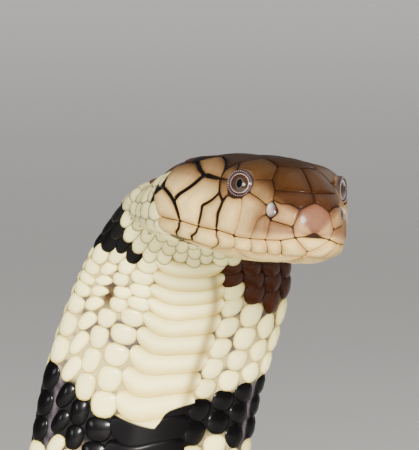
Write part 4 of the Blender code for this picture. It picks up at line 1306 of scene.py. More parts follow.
scalePieces = (  # name, template, and where along the snake it starts and ends
    ("neckScales", "fine", 0.0, 120.0),
    ("hoodScales", "fine", 120.0, 230.0),
    ("bodyScales1", "plain", 230.0, 620.0),
    ("bodyScales2", "plain", 620.0, 1000.0),
    ("bodyScales3", "plain", 1000.0, pose["vent"]),
    ("tailScales", "plain", pose["vent"], pose["totalLength"]),
)


def buildAllScales():
    along, turn, pitch, width, row = thinOut(*backPlaces())
    underJaw = softStep(foldTurn(turn), *scaleRows["jawTurn"])
    tuck = np.sign(0.5 - np.mod(turn, 1.0)) * scaleRows["jawTuck"] * underJaw
    keep = (width > scaleRows["leastWidth"]) & ~insideBorder(along + scaleRows["plateClear"], turn + tuck)
    keep &= (along > scaleRows["firstScale"]) & (along < pose["totalLength"] - scaleRows["tipClear"])
    along, turn, pitch, width, row = (x[keep] for x in (along, turn, pitch, width, row))
    turn = np.mod(turn, 1.0)
    pieces = []
    for name, kind, first, last in scalePieces:
        here = (along >= first) & (along < last)
        places = [x[here] for x in (along, turn, pitch, width)]
        pieces.append(buildScales(name, kind, (first, last), places, row=row[here]))
    chin = chinPlaces()
    keep = ~insideBorder(chin[0] + chinRows["plateClear"], chin[1]) & (chin[0] > chinRows["firstScale"])
    chin = [x[keep] for x in chin]
    pieces.append(buildScales("chinScales", "fine", (0.0, 60.0), chin, chinRows["flatten"]))
    pieces.append(buildScales("tailScutes", "plain", (pose["vent"], pose["totalLength"]), tailPlaces()))
    return pieces


# Belly scutes, each a lipped plate across the belly that overlaps the next
scuteShape = {  # the profile: share of the pitch back from the front, and mm up
    "profile": ((-0.28, -0.62), (-0.28, -0.15), (0.0, -0.08), (0.15, -0.055), (0.3, -0.03), (0.45, -0.01),
                (0.6, 0.01), (0.72, 0.025), (0.79, 0.03), (0.82, 0.015), (0.83, -0.02), (0.81, -0.10),
                (0.5, -0.32), (0.1, -0.62)),
    "middle": 0.3,  # the ends narrow towards this share of the pitch
    "columns": 35,
    "overlap": 1.03,
    "endPower": 6.0,
    "endWidth": (0.97, 0.03),
    "endSink": 0.07,
    "sag": 0.8,  # mm that the rear edge is bowed back in the middle
    "sagPower": 2.5,
    "lastStart": 1.0,  # mm past the vent where the last scute starts, and its far end
    "lastEnd": 8.0,
    "bandSoft": 2.2,  # mm over which the band's mask rises; the material sharpens it
    "bandShake": 0.12,
    "foldShadeTurn": 0.543,  # painted shade of the fold at the left ends of the throat's scutes
    "foldShadeHalf": 0.012,
    "foldShadeAlong": (62.0, 91.0, 3.0),
    # painted shade at each scute's rear lip and covered front, by share of the pitch
    "rearShade": (0.25, 0.84),
    "frontShade": (-0.17, 0.10),
}
scutePieces = (("throatScutes", 0.0, 300.0), ("bellyScutes", 300.0, 1300.0))


def scuteForm():
    shape = scuteShape
    across = np.sin(np.linspace(-0.5, 0.5, shape["columns"]) * math.pi)
    profile = np.array(shape["profile"])
    share, least = shape["endWidth"]
    ends = (1.0 - np.abs(across) ** shape["endPower"]) ** 0.5 * share + least
    x = shape["middle"] + (profile[:, 0][:, None] - shape["middle"]) * ends[None]
    lift = profile[:, 1][:, None] - shape["endSink"] * (1.0 - ends)[None]
    shift = -shape["sag"] * np.abs(across) ** shape["sagPower"]
    return across, profile[:, 0], x, lift, shift


def buildScutes():
    look = scuteShape
    starts = np.interp(np.arange(int(fineCounts[-1])), fineCounts, fineAlong)
    starts = starts[(starts > bellyScuteStart) & (starts < pose["vent"] + look["lastStart"])]
    across, profile, x, lift, shift = scuteForm()
    rows, columns = x.shape
    size = rows * columns
    solid = np.concatenate((tubeTriangles(columns, rows), capTriangles(0, rows),
                            capTriangles(size - rows, rows, flipped=True)))
    pieces = []
    for name, first, last in scutePieces:
        along = starts[(starts >= first) & (starts < last)]
        pitch = pitchCurve(along)
        half = bellyHalfCurve(along) * look["overlap"]
        where = along[:, None, None] + x[None] * pitch[:, None, None] + shift[None, None]
        where = np.clip(where, stations[0], pose["vent"] + look["lastEnd"])
        turn = 0.5 + throatTwist(where) + across[None, None] * half[:, None, None] / girth(where)
        where = where + throatSlip(along[:, None, None], turn)
        points = onSkin(where, turn, lift[None] - coilDepth(along)[:, None, None])
        points = points.transpose(0, 2, 1, 3).reshape(-1, 3)
        where, turn = where.transpose(0, 2, 1), turn.transpose(0, 2, 1)
        triangles = facingOut(points[:size], solid)
        centre = (along + look["middle"] * pitch)[:, None, None] + throatSlip(along[:, None, None], turn)
        # Painted shade: a brown line along the fold at the scutes' left ends
        foldShade = np.exp(-((turn - look["foldShadeTurn"]) / look["foldShadeHalf"]) ** 2)
        spots = where + dice.normal(0.0, look["bandShake"], len(along))[:, None, None]
        # Painted shade: ochre where each scute overlaps the next, at its rear lip and its covered front
        rear = softStep(profile, *look["rearShade"]) + (1.0 - softStep(profile, *look["frontShade"]))
        values = {
            "band": blackMask(spots, turn, soft=look["bandSoft"]),
            "chance": np.broadcast_to(dice.random(len(along))[:, None, None], turn.shape),
            "rear": np.broadcast_to(rear, turn.shape),
            "foldShade": foldShade * between(centre, *look["foldShadeAlong"]),
        }
        middle = np.broadcast_to(0.5 + bakeMap["scuteHalf"] * across[None, :, None], turn.shape)
        root = np.stack((middle, (centre - first) / (last - first)), -1) * bakeMap["used"]
        own = np.stack((np.zeros(rows), profile), -1) * bakeMap["oneScale"]
        uvs = (root + own[None, None]).reshape(-1, 2)
        pieces.append(makePiece(name, points, repeated(triangles, len(along), size), values, uvs))
    return pieces


# The skin beneath, one closed tube from snout to tail
skinSizes = {
    "columns": 96,
    "headInset": 0.30,
    "bodyInset": 0.50,
    "insetFrom": (30.0, 50.0),
    "tipThin": 0.8,  # share of the inset that the tail's tip loses
    "floorClear": 0.3,
    "nostrilPlace": (4.5, 63.0),
    "nostrilDepth": 1.2,
    "nostrilReach": 1.3,
    "hoodFrom": (56.0, 66.0),
    "hoodTo": (150.0, 200.0),
    "marginTurn": 0.290,  # the hood's bare margin, from the middle of the back
    "marginHalf": 0.0050,
    "marginWave": (0.0035, 4.2),
    # painted shade along the fold on the right flank: its half width, and how softly it ends
    "foldShadeHalf": 0.016,
    "foldShadeSoft": 4.0,
    "blackFrom": (16.0, 22.0),  # black between the plates and the first scales
    "blackTo": (36.0, 44.0),
    "blackTurn": (0.24, 0.27),
    "headTo": (34.0, 44.0),
}


def skinMasks(along, turn):
    sizes = skinSizes
    aside = foldTurn(turn)
    sway, wave = sizes["marginWave"]
    line = sizes["marginTurn"] + sway * np.sin(2.0 * math.pi * along / wave)
    margin = np.exp(-((aside - line) / sizes["marginHalf"]) ** 4) / bareMargin["width"]
    margin = margin * np.where(turn < 0.5, marginGap(along, 1), marginGap(along, -1))
    # Painted shade: the bare skin along the fold on the right flank takes the dark brown
    foldLine = sum(hoodRows["right"][:2]) + 7.5 * hoodRows["inner"] + 0.5 * hoodRows["gapTurn"]
    foldShade = np.exp(-((turn - foldLine) / sizes["foldShadeHalf"]) ** 4)
    foldShade = foldShade * between(along, *hoodRows["gapAlong"], sizes["foldShadeSoft"])
    black = window(along, sizes["blackFrom"], sizes["blackTo"]) * (1.0 - softStep(aside, *sizes["blackTurn"]))
    hood = window(along, sizes["hoodFrom"], sizes["hoodTo"])
    masks = {  # each with its values at the snout's and the tail's last points
        "band": (np.maximum(blackMask(along, turn), black), (0.0, 1.0)),
        "brown": (np.maximum(brownMask(along, turn), foldShade), (1.0, 1.0)),
        "margin": (margin, (0.0, 0.0)),
        "hood": (hood, (0.0, 0.0)),
        "onHead": (1.0 - softStep(along, *sizes["headTo"]), (1.0, 0.0)),
    }
    return {key: np.append(mask.ravel(), ends) for key, (mask, ends) in masks.items()}


def buildSkin():
    sizes = skinSizes
    headRings, lastRing = skinMap["headRings"], len(stations) - 1
    rings = np.concatenate((np.arange(headRings), np.arange(headRings + 1, lastRing, 2), [lastRing]))
    columns = np.arange(0, skinMap["columns"], skinMap["columns"] // sizes["columns"])
    points = mapPoints[np.ix_(rings, columns)]
    ways = mapNormalWays[np.ix_(rings, columns)]
    along = np.broadcast_to(stations[rings][:, None], points.shape[:2])
    turn = np.broadcast_to(columns[None] / skinMap["columns"], points.shape[:2])
    inset = softStep(along, *sizes["insetFrom"])
    inset = sizes["headInset"] + (sizes["bodyInset"] - sizes["headInset"]) * inset + coilDepth(along)
    inset = inset * (1.0 - sizes["tipThin"] * softStep(along, skinMap["tailStart"], pose["totalLength"]))
    for side in (1.0, -1.0):
        hole = headToWorld(headSkin(mapPlace(*sizes["nostrilPlace"]) * (side, 1.0)))
        distance = np.linalg.norm(points - hole, axis=-1)
        inset = inset + sizes["nostrilDepth"] * np.exp(-(distance / sizes["nostrilReach"]) ** 2)
    points = points - ways * inset[..., None]
    points[..., 2] = np.maximum(points[..., 2], sizes["floorClear"])
    flat = np.concatenate((points.reshape(-1, 3), points[0].mean(0)[None], points[-1].mean(0)[None]))
    triangles = facingOut(flat, closedTube(len(rings), len(columns)))
    return makePiece("skin", flat, triangles, skinMasks(along, turn))


# Eyes: a flattened ball with its iris round the way the eye looks, in a beaded collar that faces forward
eyeLook = {
    "rings": 48,
    "segments": 72,
    "ball": 2.0,
    "flatten": 0.52,
    "ballSink": 0.05,  # mm that the ball lies deeper in its collar
    "ringLift": -0.12,  # mm that the collar's middle stands off the skin
    "ringAt": 1.68,
    "facing": (0.58, 0.80, 0.15),  # the way the right eye's collar faces: forward, outward and up
    "look": (0.88, 0.45, 0.16),  # the way the iris and the pupil look
    "wide": 1.11,  # how much wider than tall the whole eye is
    "backDepth": 0.8,
    "pupilTall": 1.57,
    "pupilReach": (0.7, 1.1),  # mm over which the tall pupil gives way to the round iris
    "beads": 34,
    "beadRadius": 0.105,
    "beadSides": 10,
    "beadRings": 8,
    "beadsAt": (1.85, 0.12),
    "collarSides": 96,
    "collar": ((1.60, -0.30), (1.64, 0.0), (1.70, 0.10), (1.80, 0.14), (1.91, 0.10), (2.01, 0.0),
               (2.08, -0.22), (2.20, -0.8), (2.30, -1.7), (1.60, -1.7)),
    "skirtLift": (-0.9, -0.15),
}


def eyeFrame(side):
    flip = np.array((1.0, side, 1.0))
    middle = headToWorld((headSkin(eyePlace) + headNormals(eyePlace) * eyeLook["ringLift"]) * flip)
    ways = []
    for key in ("facing", "look"):
        forward, outward, above = eyeLook[key]
        ways.append(unit(headTurn @ (np.array((forward, -outward, above)) * flip)))
    facing, look = ways
    up = headTurn @ np.array((0.0, 0.0, 1.0))
    across = unit(np.cross(up, facing))
    return middle, facing, across * eyeLook["wide"], np.cross(facing, across), look


# The ways out of a ball in rings from its front to its back, and then those two ends
def ballWays(rings, sides):
    tilt = np.linspace(0.0, math.pi, rings)[1:-1, None]
    around = roundAngles(sides)[None]
    ways = np.broadcast_arrays(np.sin(tilt) * np.cos(around), np.sin(tilt) * np.sin(around), np.cos(tilt))
    ways = np.concatenate((np.stack(ways, -1).reshape(-1, 3), ((0.0, 0.0, 1.0), (0.0, 0.0, -1.0))))
    return ways, facingOut(ways, closedTube(rings - 2, sides))


def buildEye(side, name):
    middle, facing, across, up, look = eyeFrame(side)
    radius, flatten = eyeLook["ball"], eyeLook["flatten"]
    ways, triangles = ballWays(eyeLook["rings"], eyeLook["segments"])
    ways = ways[:, :1] * across + ways[:, 1:2] * up + ways[:, 2:] * facing
    bulge = flatten * math.sqrt(radius ** 2 - eyeLook["ringAt"] ** 2)
    centre = middle - facing * (bulge + eyeLook["ballSink"])
    depth = ways @ facing
    squash = 1.0 - np.where(depth > 0.0, flatten, eyeLook["backDepth"])
    points = centre + radius * (ways - facing * (depth * squash)[:, None])
    sideLook = unit(np.cross(up, look))
    aside, above = (points - middle) @ sideLook, (points - middle) @ np.cross(look, sideLook)
    distance = np.hypot(aside, above)
    tall = np.hypot(aside, above / eyeLook["pupilTall"])
    narrow = 1.0 - softStep(distance, *eyeLook["pupilReach"])
    distance = np.where(depth > 0.0, tall * narrow + distance * (1.0 - narrow), radius)
    return makePiece(name, points, facingOut(points, triangles), {"eyeRadius": distance / radius})


def buildEyeRing(side, name):
    middle, facing, across, up = eyeFrame(side)[:4]

    def ring(count):
        around = roundAngles(count)
        return np.cos(around)[:, None] * across + np.sin(around)[:, None] * up

    sides, collar = eyeLook["collarSides"], np.array(eyeLook["collar"])
    out, lift = collar[:, 0][None, :, None], collar[:, 1][None, :, None]
    points = (middle + ring(sides)[:, None] * out + facing * lift).reshape(-1, 3)
    triangles = facingOut(points, tubeTriangles(sides, len(collar), closed=True))
    beadRing, beadLift = eyeLook["beadsAt"]
    centres = middle + facing * beadLift + ring(eyeLook["beads"]) * beadRing
    ways, cells = ballWays(eyeLook["beadRings"], eyeLook["beadSides"])
    beads = (centres[:, None] + ways[None] * eyeLook["beadRadius"]).reshape(-1, 3)
    skirt = np.tile(1.0 - softStep(collar[:, 1], *eyeLook["skirtLift"]), sides)
    values = {"bead": np.concatenate((np.zeros(len(points)), np.ones(len(beads)))),
              "skirt": np.concatenate((skirt, np.zeros(len(beads))))}
    triangles = np.concatenate((triangles, repeated(cells, len(centres), len(ways)) + len(points)))
    return makePiece(name, np.concatenate((points, beads)), triangles, values)


# Materials
def treeInput(group, name, kind, value):
    socket = group.interface.new_socket(name=name, in_out="INPUT", socket_type=kind)
    socket.default_value = value


def mixNode(tree, factor, first, second, mode="MIX"):
    node = tree.nodes.new("ShaderNodeMix")
    node.data_type = "RGBA"
    node.blend_type = mode
    for socket, value in ((node.inputs[0], factor), (node.inputs[6], first), (node.inputs[7], second)):
        if isinstance(value, bpy.types.NodeSocket):
            tree.links.new(value, socket)
        elif isinstance(value, tuple):
            socket.default_value = value + (1.0,)
        else:
            socket.default_value = value
    return node.outputs[2]


def mathNode(tree, operation, *values, clamp=False):
    node = tree.nodes.new("ShaderNodeMath")
    node.operation = operation
    node.use_clamp = clamp
    for socket, value in zip(node.inputs, values):
        if isinstance(value, bpy.types.NodeSocket):
            tree.links.new(value, socket)
        else:
            socket.default_value = value
    return node.outputs[0]


def setInputs(node, values):
    for name, value in values.items():
        node.inputs[name].default_value = value


def rampNode(tree, factor, stops):
    node = tree.nodes.new("ShaderNodeValToRGB")
    tree.links.new(factor, node.inputs["Fac"])
    while len(node.color_ramp.elements) < len(stops):
        node.color_ramp.elements.new(0.5)
    for element, (position, colour) in zip(node.color_ramp.elements, stops):
        element.position = position
        element.color = colour + (1.0,)
    return node.outputs["Color"]


def maskNode(tree, factor, low, high):
    return rampNode(tree, factor, ((low, (0.0, 0.0, 0.0)), (high, (1.0, 1.0, 1.0))))


def attributeNode(tree, name):
    node = tree.nodes.new("ShaderNodeAttribute")
    node.attribute_name = name
    return node.outputs["Fac"]


def noiseNode(tree, scale, detail=3.0, roughness=0.55):
    node = tree.nodes.new("ShaderNodeTexNoise")
    coordinates = tree.nodes.new("ShaderNodeTexCoord")
    tree.links.new(coordinates.outputs["Object"], node.inputs["Vector"])
    setInputs(node, {"Scale": scale, "Detail": detail, "Roughness": roughness})
    return node.outputs["Fac"]


# Wear of the horny skin, shared by the materials: flecks, a brightness by chance, gloss and relief
wearLook = {
    "cloudScale": 260.0,
    "cloudAt": (0.35, 0.7),
    "cloudRoughness": 0.16,
    "cloudHeight": 0.6,
    "speckle": (1500.0, 4.0, 0.6),
    "speckleAt": (0.45, 0.75),
    "speckleHeight": 0.4,
    "brightness": (0.22, 0.89),  # what chance adds, and the least
}


def makeKeratinGroup():
    group = bpy.data.node_groups.new("keratinWear", "ShaderNodeTree")
    treeInput(group, "Colour", "NodeSocketColor", (0.5, 0.5, 0.5, 1.0))
    treeInput(group, "Fleck", "NodeSocketColor", (0.2, 0.1, 0.05, 1.0))
    treeInput(group, "Amount", "NodeSocketFloat", 0.2)
    treeInput(group, "Chance", "NodeSocketFloat", 0.5)
    treeInput(group, "Gloss", "NodeSocketFloat", 0.3)
    group.interface.new_socket(name="Colour", in_out="OUTPUT", socket_type="NodeSocketColor")
    group.interface.new_socket(name="Roughness", in_out="OUTPUT", socket_type="NodeSocketFloat")
    group.interface.new_socket(name="Height", in_out="OUTPUT", socket_type="NodeSocketFloat")
    entry = group.nodes.new("NodeGroupInput")
    leave = group.nodes.new("NodeGroupOutput")
    cloud = noiseNode(group, wearLook["cloudScale"])
    speckle = noiseNode(group, *wearLook["speckle"])
    both = mathNode(group, "ADD", maskNode(group, speckle, *wearLook["speckleAt"]),
                    maskNode(group, cloud, *wearLook["cloudAt"]))
    weight = mathNode(group, "MULTIPLY", both, entry.outputs["Amount"])
    colour = mixNode(group, weight, entry.outputs["Colour"], entry.outputs["Fleck"], "MULTIPLY")
    bright = group.nodes.new("ShaderNodeHueSaturation")
    group.links.new(colour, bright.inputs["Color"])
    value = mathNode(group, "MULTIPLY_ADD", entry.outputs["Chance"], *wearLook["brightness"])
    group.links.new(value, bright.inputs["Value"])
    rough = mathNode(group, "MULTIPLY", cloud, wearLook["cloudRoughness"])
    height = mathNode(group, "ADD", mathNode(group, "MULTIPLY", cloud, wearLook["cloudHeight"]),
                      mathNode(group, "MULTIPLY", speckle, wearLook["speckleHeight"]))
    group.links.new(bright.outputs["Color"], leave.inputs["Colour"])
    group.links.new(mathNode(group, "ADD", rough, entry.outputs["Gloss"]), leave.inputs["Roughness"])
    group.links.new(height, leave.inputs["Height"])
    return group


keratin = makeKeratinGroup()


def newMaterial(name):
    material = bpy.data.materials.new(name)
    material.use_nodes = True
    tree = material.node_tree
    return material, tree, tree.nodes["Principled BSDF"]


def finishWithKeratin(tree, shader, look, colour, byChance=True):
    node = tree.nodes.new("ShaderNodeGroup")
    node.node_tree = keratin
    setInputs(node, {"Fleck": look["fleck"] + (1.0,), "Amount": look["wear"], "Gloss": look["gloss"]})
    tree.links.new(colour, node.inputs["Colour"])
    if byChance:
        tree.links.new(attributeNode(tree, "chance"), node.inputs["Chance"])
    relief = tree.nodes.new("ShaderNodeBump")
    setInputs(relief, {"Strength": look["bump"], "Distance": look["bumpDepth"]})
    tree.links.new(node.outputs["Height"], relief.inputs["Height"])
    tree.links.new(node.outputs["Colour"], shader.inputs["Base Color"])
    tree.links.new(node.outputs["Roughness"], shader.inputs["Roughness"])
    tree.links.new(relief.outputs["Normal"], shader.inputs["Normal"])
    setInputs(shader, {"Coat Weight": look["coat"], "Coat Roughness": look["coatRoughness"],
                       "Specular IOR Level": look["specular"]})


scaleFinish = {
    "cream": (0.92, 0.85, 0.40),
    "ochre": (0.42, 0.25, 0.075),
    "tan": (0.14, 0.045, 0.010),
    "brown": (0.050, 0.012, 0.002),
    "black": (0.002, 0.0017, 0.002),
    "neckRim": (0.062, 0.034, 0.020),  # darker rims of the scales: a thin dark outline, and painted shade where each dome turns away
    "padRim": (0.50, 0.40, 0.12),
    "rimShare": 0.95,
    "fleck": (0.55, 0.42, 0.22), "wear": 0.14, "gloss": 0.24,
    "bump": 0.10, "bumpDepth": 0.0002, "coat": 0.12, "coatRoughness": 0.10, "specular": 0.07,
}


def makeScaleMaterial():
    material, tree, shader = newMaterial("glossyScales")
    look = scaleFinish
    ground = rampNode(tree, attributeNode(tree, "brown"), (
        (0.0, look["cream"]), (0.35, look["ochre"]), (0.65, look["tan"]), (1.0, look["brown"])))
    # Darker rims: outline, and painted shade where each dome turns away
    rim = mixNode(tree, attributeNode(tree, "pad"), look["neckRim"], look["padRim"])
    edge = mathNode(tree, "MULTIPLY", attributeNode(tree, "edge"), look["rimShare"])
    ground = mixNode(tree, edge, ground, rim, "MULTIPLY")
    colour = mixNode(tree, attributeNode(tree, "band"), ground, look["black"])
    finishWithKeratin(tree, shader, look, colour)
    return material


scuteFinish = {
    "cream": (0.93, 0.85, 0.41),
    "ochre": (0.56, 0.40, 0.06),  # painted shade along each scute's overlap, at its rear and front
    "overlapShadeShare": 0.8,
    # painted shade of the fold at the scutes' left ends
    "foldShade": (0.20, 0.13, 0.035),
    "foldShadeShare": 0.8,
    "black": (0.002, 0.0017, 0.002),
    "blackAt": (0.44, 0.56),
    "fleck": (0.70, 0.58, 0.36), "wear": 0.12, "gloss": 0.34,
    "bump": 0.08, "bumpDepth": 0.0002, "coat": 0.04, "coatRoughness": 0.18, "specular": 0.07,
}


def makeScuteMaterial():
    material, tree, shader = newMaterial("bellyScutes")
    look = scuteFinish
    # Painted shade along the scutes' overlaps
    rear = mathNode(tree, "MULTIPLY", attributeNode(tree, "rear"), look["overlapShadeShare"], clamp=True)
    ground = mixNode(tree, rear, look["cream"], look["ochre"])
    # Painted shade of the fold at the scutes' left ends
    foldShade = mathNode(tree, "MULTIPLY", attributeNode(tree, "foldShade"), look["foldShadeShare"])
    ground = mixNode(tree, foldShade, ground, look["foldShade"])
    band = maskNode(tree, attributeNode(tree, "band"), *look["blackAt"])
    finishWithKeratin(tree, shader, look, mixNode(tree, band, ground, look["black"]))
    return material


plateFinish = {
    "cream": (0.80, 0.60, 0.24),
    "tan": (0.255, 0.155, 0.068),
    "copper": (0.047, 0.020, 0.0065),
    "dark": (0.024, 0.010, 0.0035),
    "pink": (0.24, 0.10, 0.075),
    "pinkShare": 0.6,
    # painted shade towards the plates' rims
    "rimShade": (0.56, 0.42, 0.29),
    "rimShare": 0.7,
    "ink": (0.004, 0.003, 0.003),
    "fleck": (0.45, 0.30, 0.20), "wear": 0.20, "gloss": 0.34,
    "bump": 0.16, "bumpDepth": 0.0002, "coat": 0.08, "coatRoughness": 0.14, "specular": 0.04,
}


def makePlateMaterial():
    material, tree, shader = newMaterial("headPlates")
    look = plateFinish
    ground = rampNode(tree, attributeNode(tree, "tone"), (
        (0.0, look["cream"]), (0.42, look["tan"]), (0.74, look["copper"]), (1.0, look["dark"])))
    pink = mathNode(tree, "MULTIPLY", attributeNode(tree, "pink"), look["pinkShare"])
    ground = mixNode(tree, pink, ground, look["pink"])
    # Painted shade towards each plate's rim
    rim = mathNode(tree, "MULTIPLY", attributeNode(tree, "edge"), look["rimShare"])
    ground = mixNode(tree, rim, ground, look["rimShade"], "MULTIPLY")
    finishWithKeratin(tree, shader, look, mixNode(tree, attributeNode(tree, "ink"), ground, look["ink"]))
    return material


nostrilFinish = {
    # pale at the rear, partly the valve's colour and partly painted glare of its wet surface; mauve to dark
    # brown at the front
    "valveAndGlare": ((0.0, (0.50, 0.46, 0.38)), (0.45, (0.56, 0.54, 0.48)), (0.62, (0.30, 0.20, 0.19)),
              (1.0, (0.14, 0.075, 0.065))),
    # painted shade where the valve sinks into the nostril's hollow
    "rim": (0.03, 0.015, 0.012),
    "rimShadePower": 3.0,
    "fleck": (0.6, 0.5, 0.5), "wear": 0.2, "gloss": 0.05,
    "bump": 0.3, "bumpDepth": 0.0002, "coat": 1.0, "coatRoughness": 0.03, "specular": 0.5,
}


def makeNostrilMaterial():
    material, tree, shader = newMaterial("wetNostril")
    look = nostrilFinish
    valveAndGlare = rampNode(tree, attributeNode(tree, "tone"), look["valveAndGlare"])
    # Painted shade at the rim, painted glare in the pale rear
    rim = mathNode(tree, "POWER", attributeNode(tree, "edge"), look["rimShadePower"])
    finishWithKeratin(tree, shader, look, mixNode(tree, rim, valveAndGlare, look["rim"]))
    return material


skinFinish = {
    "cream": (0.48, 0.40, 0.20),
    "brown": (0.030, 0.010, 0.003),
    "black": (0.003, 0.0025, 0.003),
    "margin": (0.085, 0.073, 0.09),
    "gap": (0.080, 0.064, 0.058),  # darker spots between the hood's scales
    "spotScale": 190.0,
    "spotsAt": (0.46, 0.58),
    "seam": (0.02, 0.008, 0.004),
    "fleck": (0.5, 0.4, 0.3), "wear": 0.3, "gloss": 0.5,
    "bump": 0.4, "bumpDepth": 0.0003, "coat": 0.0, "coatRoughness": 0.03, "specular": 0.12,
}


def makeSkinMaterial():
    material, tree, shader = newMaterial("bareSkin")
    look = skinFinish
    spots = maskNode(tree, noiseNode(tree, look["spotScale"]), *look["spotsAt"])
    gap = mathNode(tree, "MULTIPLY", attributeNode(tree, "hood"), spots, clamp=True)
    colour = mixNode(tree, gap, look["cream"], look["gap"])
    layers = (("brown", "brown"), ("onHead", "seam"), ("band", "black"), ("margin", "margin"))
    for mask, tone in layers:
        colour = mixNode(tree, attributeNode(tree, mask), colour, look[tone])
    finishWithKeratin(tree, shader, look, colour, byChance=False)
    return material


eyeFinish = {
    "pupil": (0.0008, 0.0008, 0.001),
    "paleRing": (0.085, 0.08, 0.078),
    "iris": (0.034, 0.017, 0.009),
    "irisEdge": (0.013, 0.007, 0.006),
    "outerRing": (0.29, 0.195, 0.17),
    "rim": (0.018, 0.011, 0.012),
    "bead": (0.13, 0.095, 0.10),
    "skirt": (0.14, 0.075, 0.03),
    "fibre": (0.4, 0.3, 0.25),
    "fibreShare": 0.6,
    "fibreNoise": (3200.0, 5.0, 0.7),
    "wobble": (1800.0, 0.03),  # scale and amount by which the rings' edges wander
    "wetness": {"Roughness": 0.15, "Specular IOR Level": 0.1, "Coat Weight": 1.0, "Coat Roughness": 0.03},
    "rimGloss": {"Specular IOR Level": 0.2, "Coat Weight": 0.2, "Coat Roughness": 0.10},
    "rimRoughness": (2500.0, 0.2, 0.5),
}
eyeBands = (  # share of the ball's radius where each colour starts and ends
    (0.0, "pupil"), (0.215, "pupil"), (0.230, "paleRing"), (0.248, "paleRing"), (0.285, "iris"),
    (0.54, "iris"), (0.665, "irisEdge"), (0.695, "outerRing"), (0.748, "outerRing"), (0.780, "rim"),
)


def makeEyeMaterial():
    material, tree, shader = newMaterial("wetEye")
    look = eyeFinish
    scale, amount = look["wobble"]
    wobble = mathNode(tree, "MULTIPLY", mathNode(tree, "SUBTRACT", noiseNode(tree, scale), 0.5), amount)
    share = mathNode(tree, "ADD", attributeNode(tree, "eyeRadius"), wobble)
    colour = rampNode(tree, share, [(place, look[key]) for place, key in eyeBands])
    fibres = mathNode(tree, "MULTIPLY", noiseNode(tree, *look["fibreNoise"]), look["fibreShare"])
    colour = mixNode(tree, fibres, colour, look["fibre"], "MULTIPLY")
    tree.links.new(colour, shader.inputs["Base Color"])
    setInputs(shader, look["wetness"])
    return material


def makeRimMaterial():
    material, tree, shader = newMaterial("eyeRim")
    look = eyeFinish
    colour = mixNode(tree, attributeNode(tree, "bead"), look["rim"], look["bead"])
    colour = mixNode(tree, attributeNode(tree, "skirt"), colour, look["skirt"])
    tree.links.new(colour, shader.inputs["Base Color"])
    scale, grain, least = look["rimRoughness"]
    rough = mathNode(tree, "MULTIPLY_ADD", noiseNode(tree, scale), grain, least)
    tree.links.new(rough, shader.inputs["Roughness"])
    setInputs(shader, look["rimGloss"])
    return material


scaleMaterial = makeScaleMaterial()
scuteMaterial = makeScuteMaterial()
eyeMaterial = makeEyeMaterial()
rimMaterial = makeRimMaterial()
print("materials made")


def dress(piece, material, nodes=()):
    piece.data.materials.append(material)
    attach(piece, "root")
    if nodes:
        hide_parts(*nodes)


fleshNodes = [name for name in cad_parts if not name.startswith("eye_")]
dress(buildSkin(), makeSkinMaterial(), fleshNodes)
plates, nostrils = buildHeadPlates()
dress(plates, makePlateMaterial())
dress(nostrils, makeNostrilMaterial())
for piece in buildAllScales():
    dress(piece, scaleMaterial)
for piece in buildScutes():
    dress(piece, scuteMaterial)
for side, nodeName, name in ((1.0, "eye_right", "eyeRight"), (-1.0, "eye_left", "eyeLeft")):
    dress(buildEye(side, name), eyeMaterial, [nodeName])
    dress(buildEyeRing(side, name + "Rim"), rimMaterial)

# Stage: floor, soft lights and the camera
stageSizes = {
    "floorHalf": 60.0,  # in metres, as are the lamps' places and sizes
    "floorColour": (0.78, 0.765, 0.74),
    "floorShade": 0.97,
    "floorScale": 9.0,
    "floorRoughness": 0.6,
    "worldColour": (1.0, 0.98, 0.95),
    "worldStrength": 0.22,
    "cameraElevation": 5.0,
    "cameraDistance": 650.0,
    "cameraClip": (0.05, 500.0),
    "frameHeight": 66.2,  # mm seen at the aim's distance
    "aimAside": -15.37,
    "aimUp": 2.15,
    "sensor": 36.0,
}
headMiddle = (-0.03, -0.10, 0.25)
lamps = (  # name, place, target, size, power, colour, seen in gloss or not
    ("key", (0.06, -1.45, 0.62), headMiddle, 0.28, 68.0, (1.0, 0.96, 0.89), True),
    ("fill", (-1.0, -1.22, 0.5), headMiddle, 0.4, 7.0, (0.92, 0.94, 1.0), True),
    ("top", (0.3, 0.4, 1.6), (0.0, 0.0, 0.1), 1.2, 5.0, (1.0, 1.0, 1.0), True),
    ("back", (0.9, 1.3, 0.9), (0.0, 0.0, 0.15), 1.3, 5.0, (1.0, 0.98, 0.95), True),
    ("farFloor", (0.0, 8.0, 4.0), (0.0, 7.6, 0.0), 9.0, 200.0, (1.0, 1.0, 1.0), False),
)


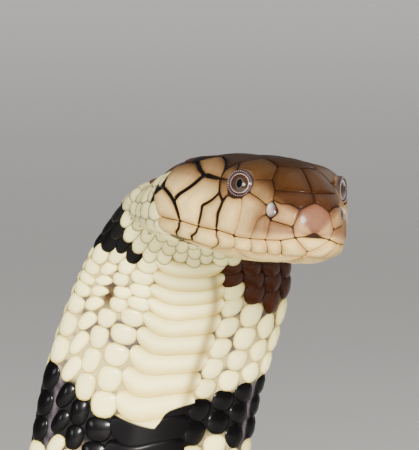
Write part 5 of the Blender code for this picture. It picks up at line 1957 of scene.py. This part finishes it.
def addStage():
    bpy.ops.mesh.primitive_grid_add(x_subdivisions=8, y_subdivisions=8, size=2.0 * stageSizes["floorHalf"])
    floor = bpy.context.active_object
    floor.name = "studioFloor"
    material, tree, shader = newMaterial("paleFloor")
    shade = tuple(value * stageSizes["floorShade"] for value in stageSizes["floorColour"])
    colour = mixNode(tree, noiseNode(tree, stageSizes["floorScale"]), shade, stageSizes["floorColour"])
    tree.links.new(colour, shader.inputs["Base Color"])
    setInputs(shader, {"Roughness": stageSizes["floorRoughness"]})
    floor.data.materials.append(material)
    world = bpy.data.worlds.new("softStudio")
    world.use_nodes = True
    setInputs(world.node_tree.nodes["Background"], {"Color": stageSizes["worldColour"] + (1.0,),
                                                    "Strength": stageSizes["worldStrength"]})
    bpy.context.scene.world = world


def addLamp(name, position, target, size, power, colour, inGloss):
    data = bpy.data.lights.new(name, "AREA")
    data.shape = "DISK"
    data.size = size
    data.energy = power
    data.color = colour
    lamp = bpy.data.objects.new(name, data)
    lamp.location = position
    lamp.visible_glossy = inGloss
    lamp.rotation_euler = (Vector(target) - Vector(position)).to_track_quat("-Z", "Y").to_euler()
    bpy.context.scene.collection.objects.link(lamp)


def addCamera():
    tilt = math.radians(stageSizes["cameraElevation"])
    upWay = np.array((0.0, math.sin(tilt), math.cos(tilt)))
    backWay = np.array((0.0, -math.cos(tilt), math.sin(tilt)))
    aim = snoutPoint + np.array((stageSizes["aimAside"], 0.0, 0.0)) + upWay * stageSizes["aimUp"]
    place = Vector((aim + backWay * stageSizes["cameraDistance"]) * mm)
    data = bpy.data.cameras.new("photoCamera")
    data.sensor_width = stageSizes["sensor"]
    data.lens = stageSizes["sensor"] * stageSizes["cameraDistance"] / stageSizes["frameHeight"]
    data.clip_start, data.clip_end = stageSizes["cameraClip"]
    camera = bpy.data.objects.new("photoCamera", data)
    camera.matrix_world = Matrix.Translation(place) @ Matrix.Rotation(math.radians(90.0) - tilt, 4, "X")
    bpy.context.scene.collection.objects.link(camera)
    bpy.context.scene.camera = camera


addStage()
for lamp in lamps:
    addLamp(*lamp)
addCamera()
print("stage ready")
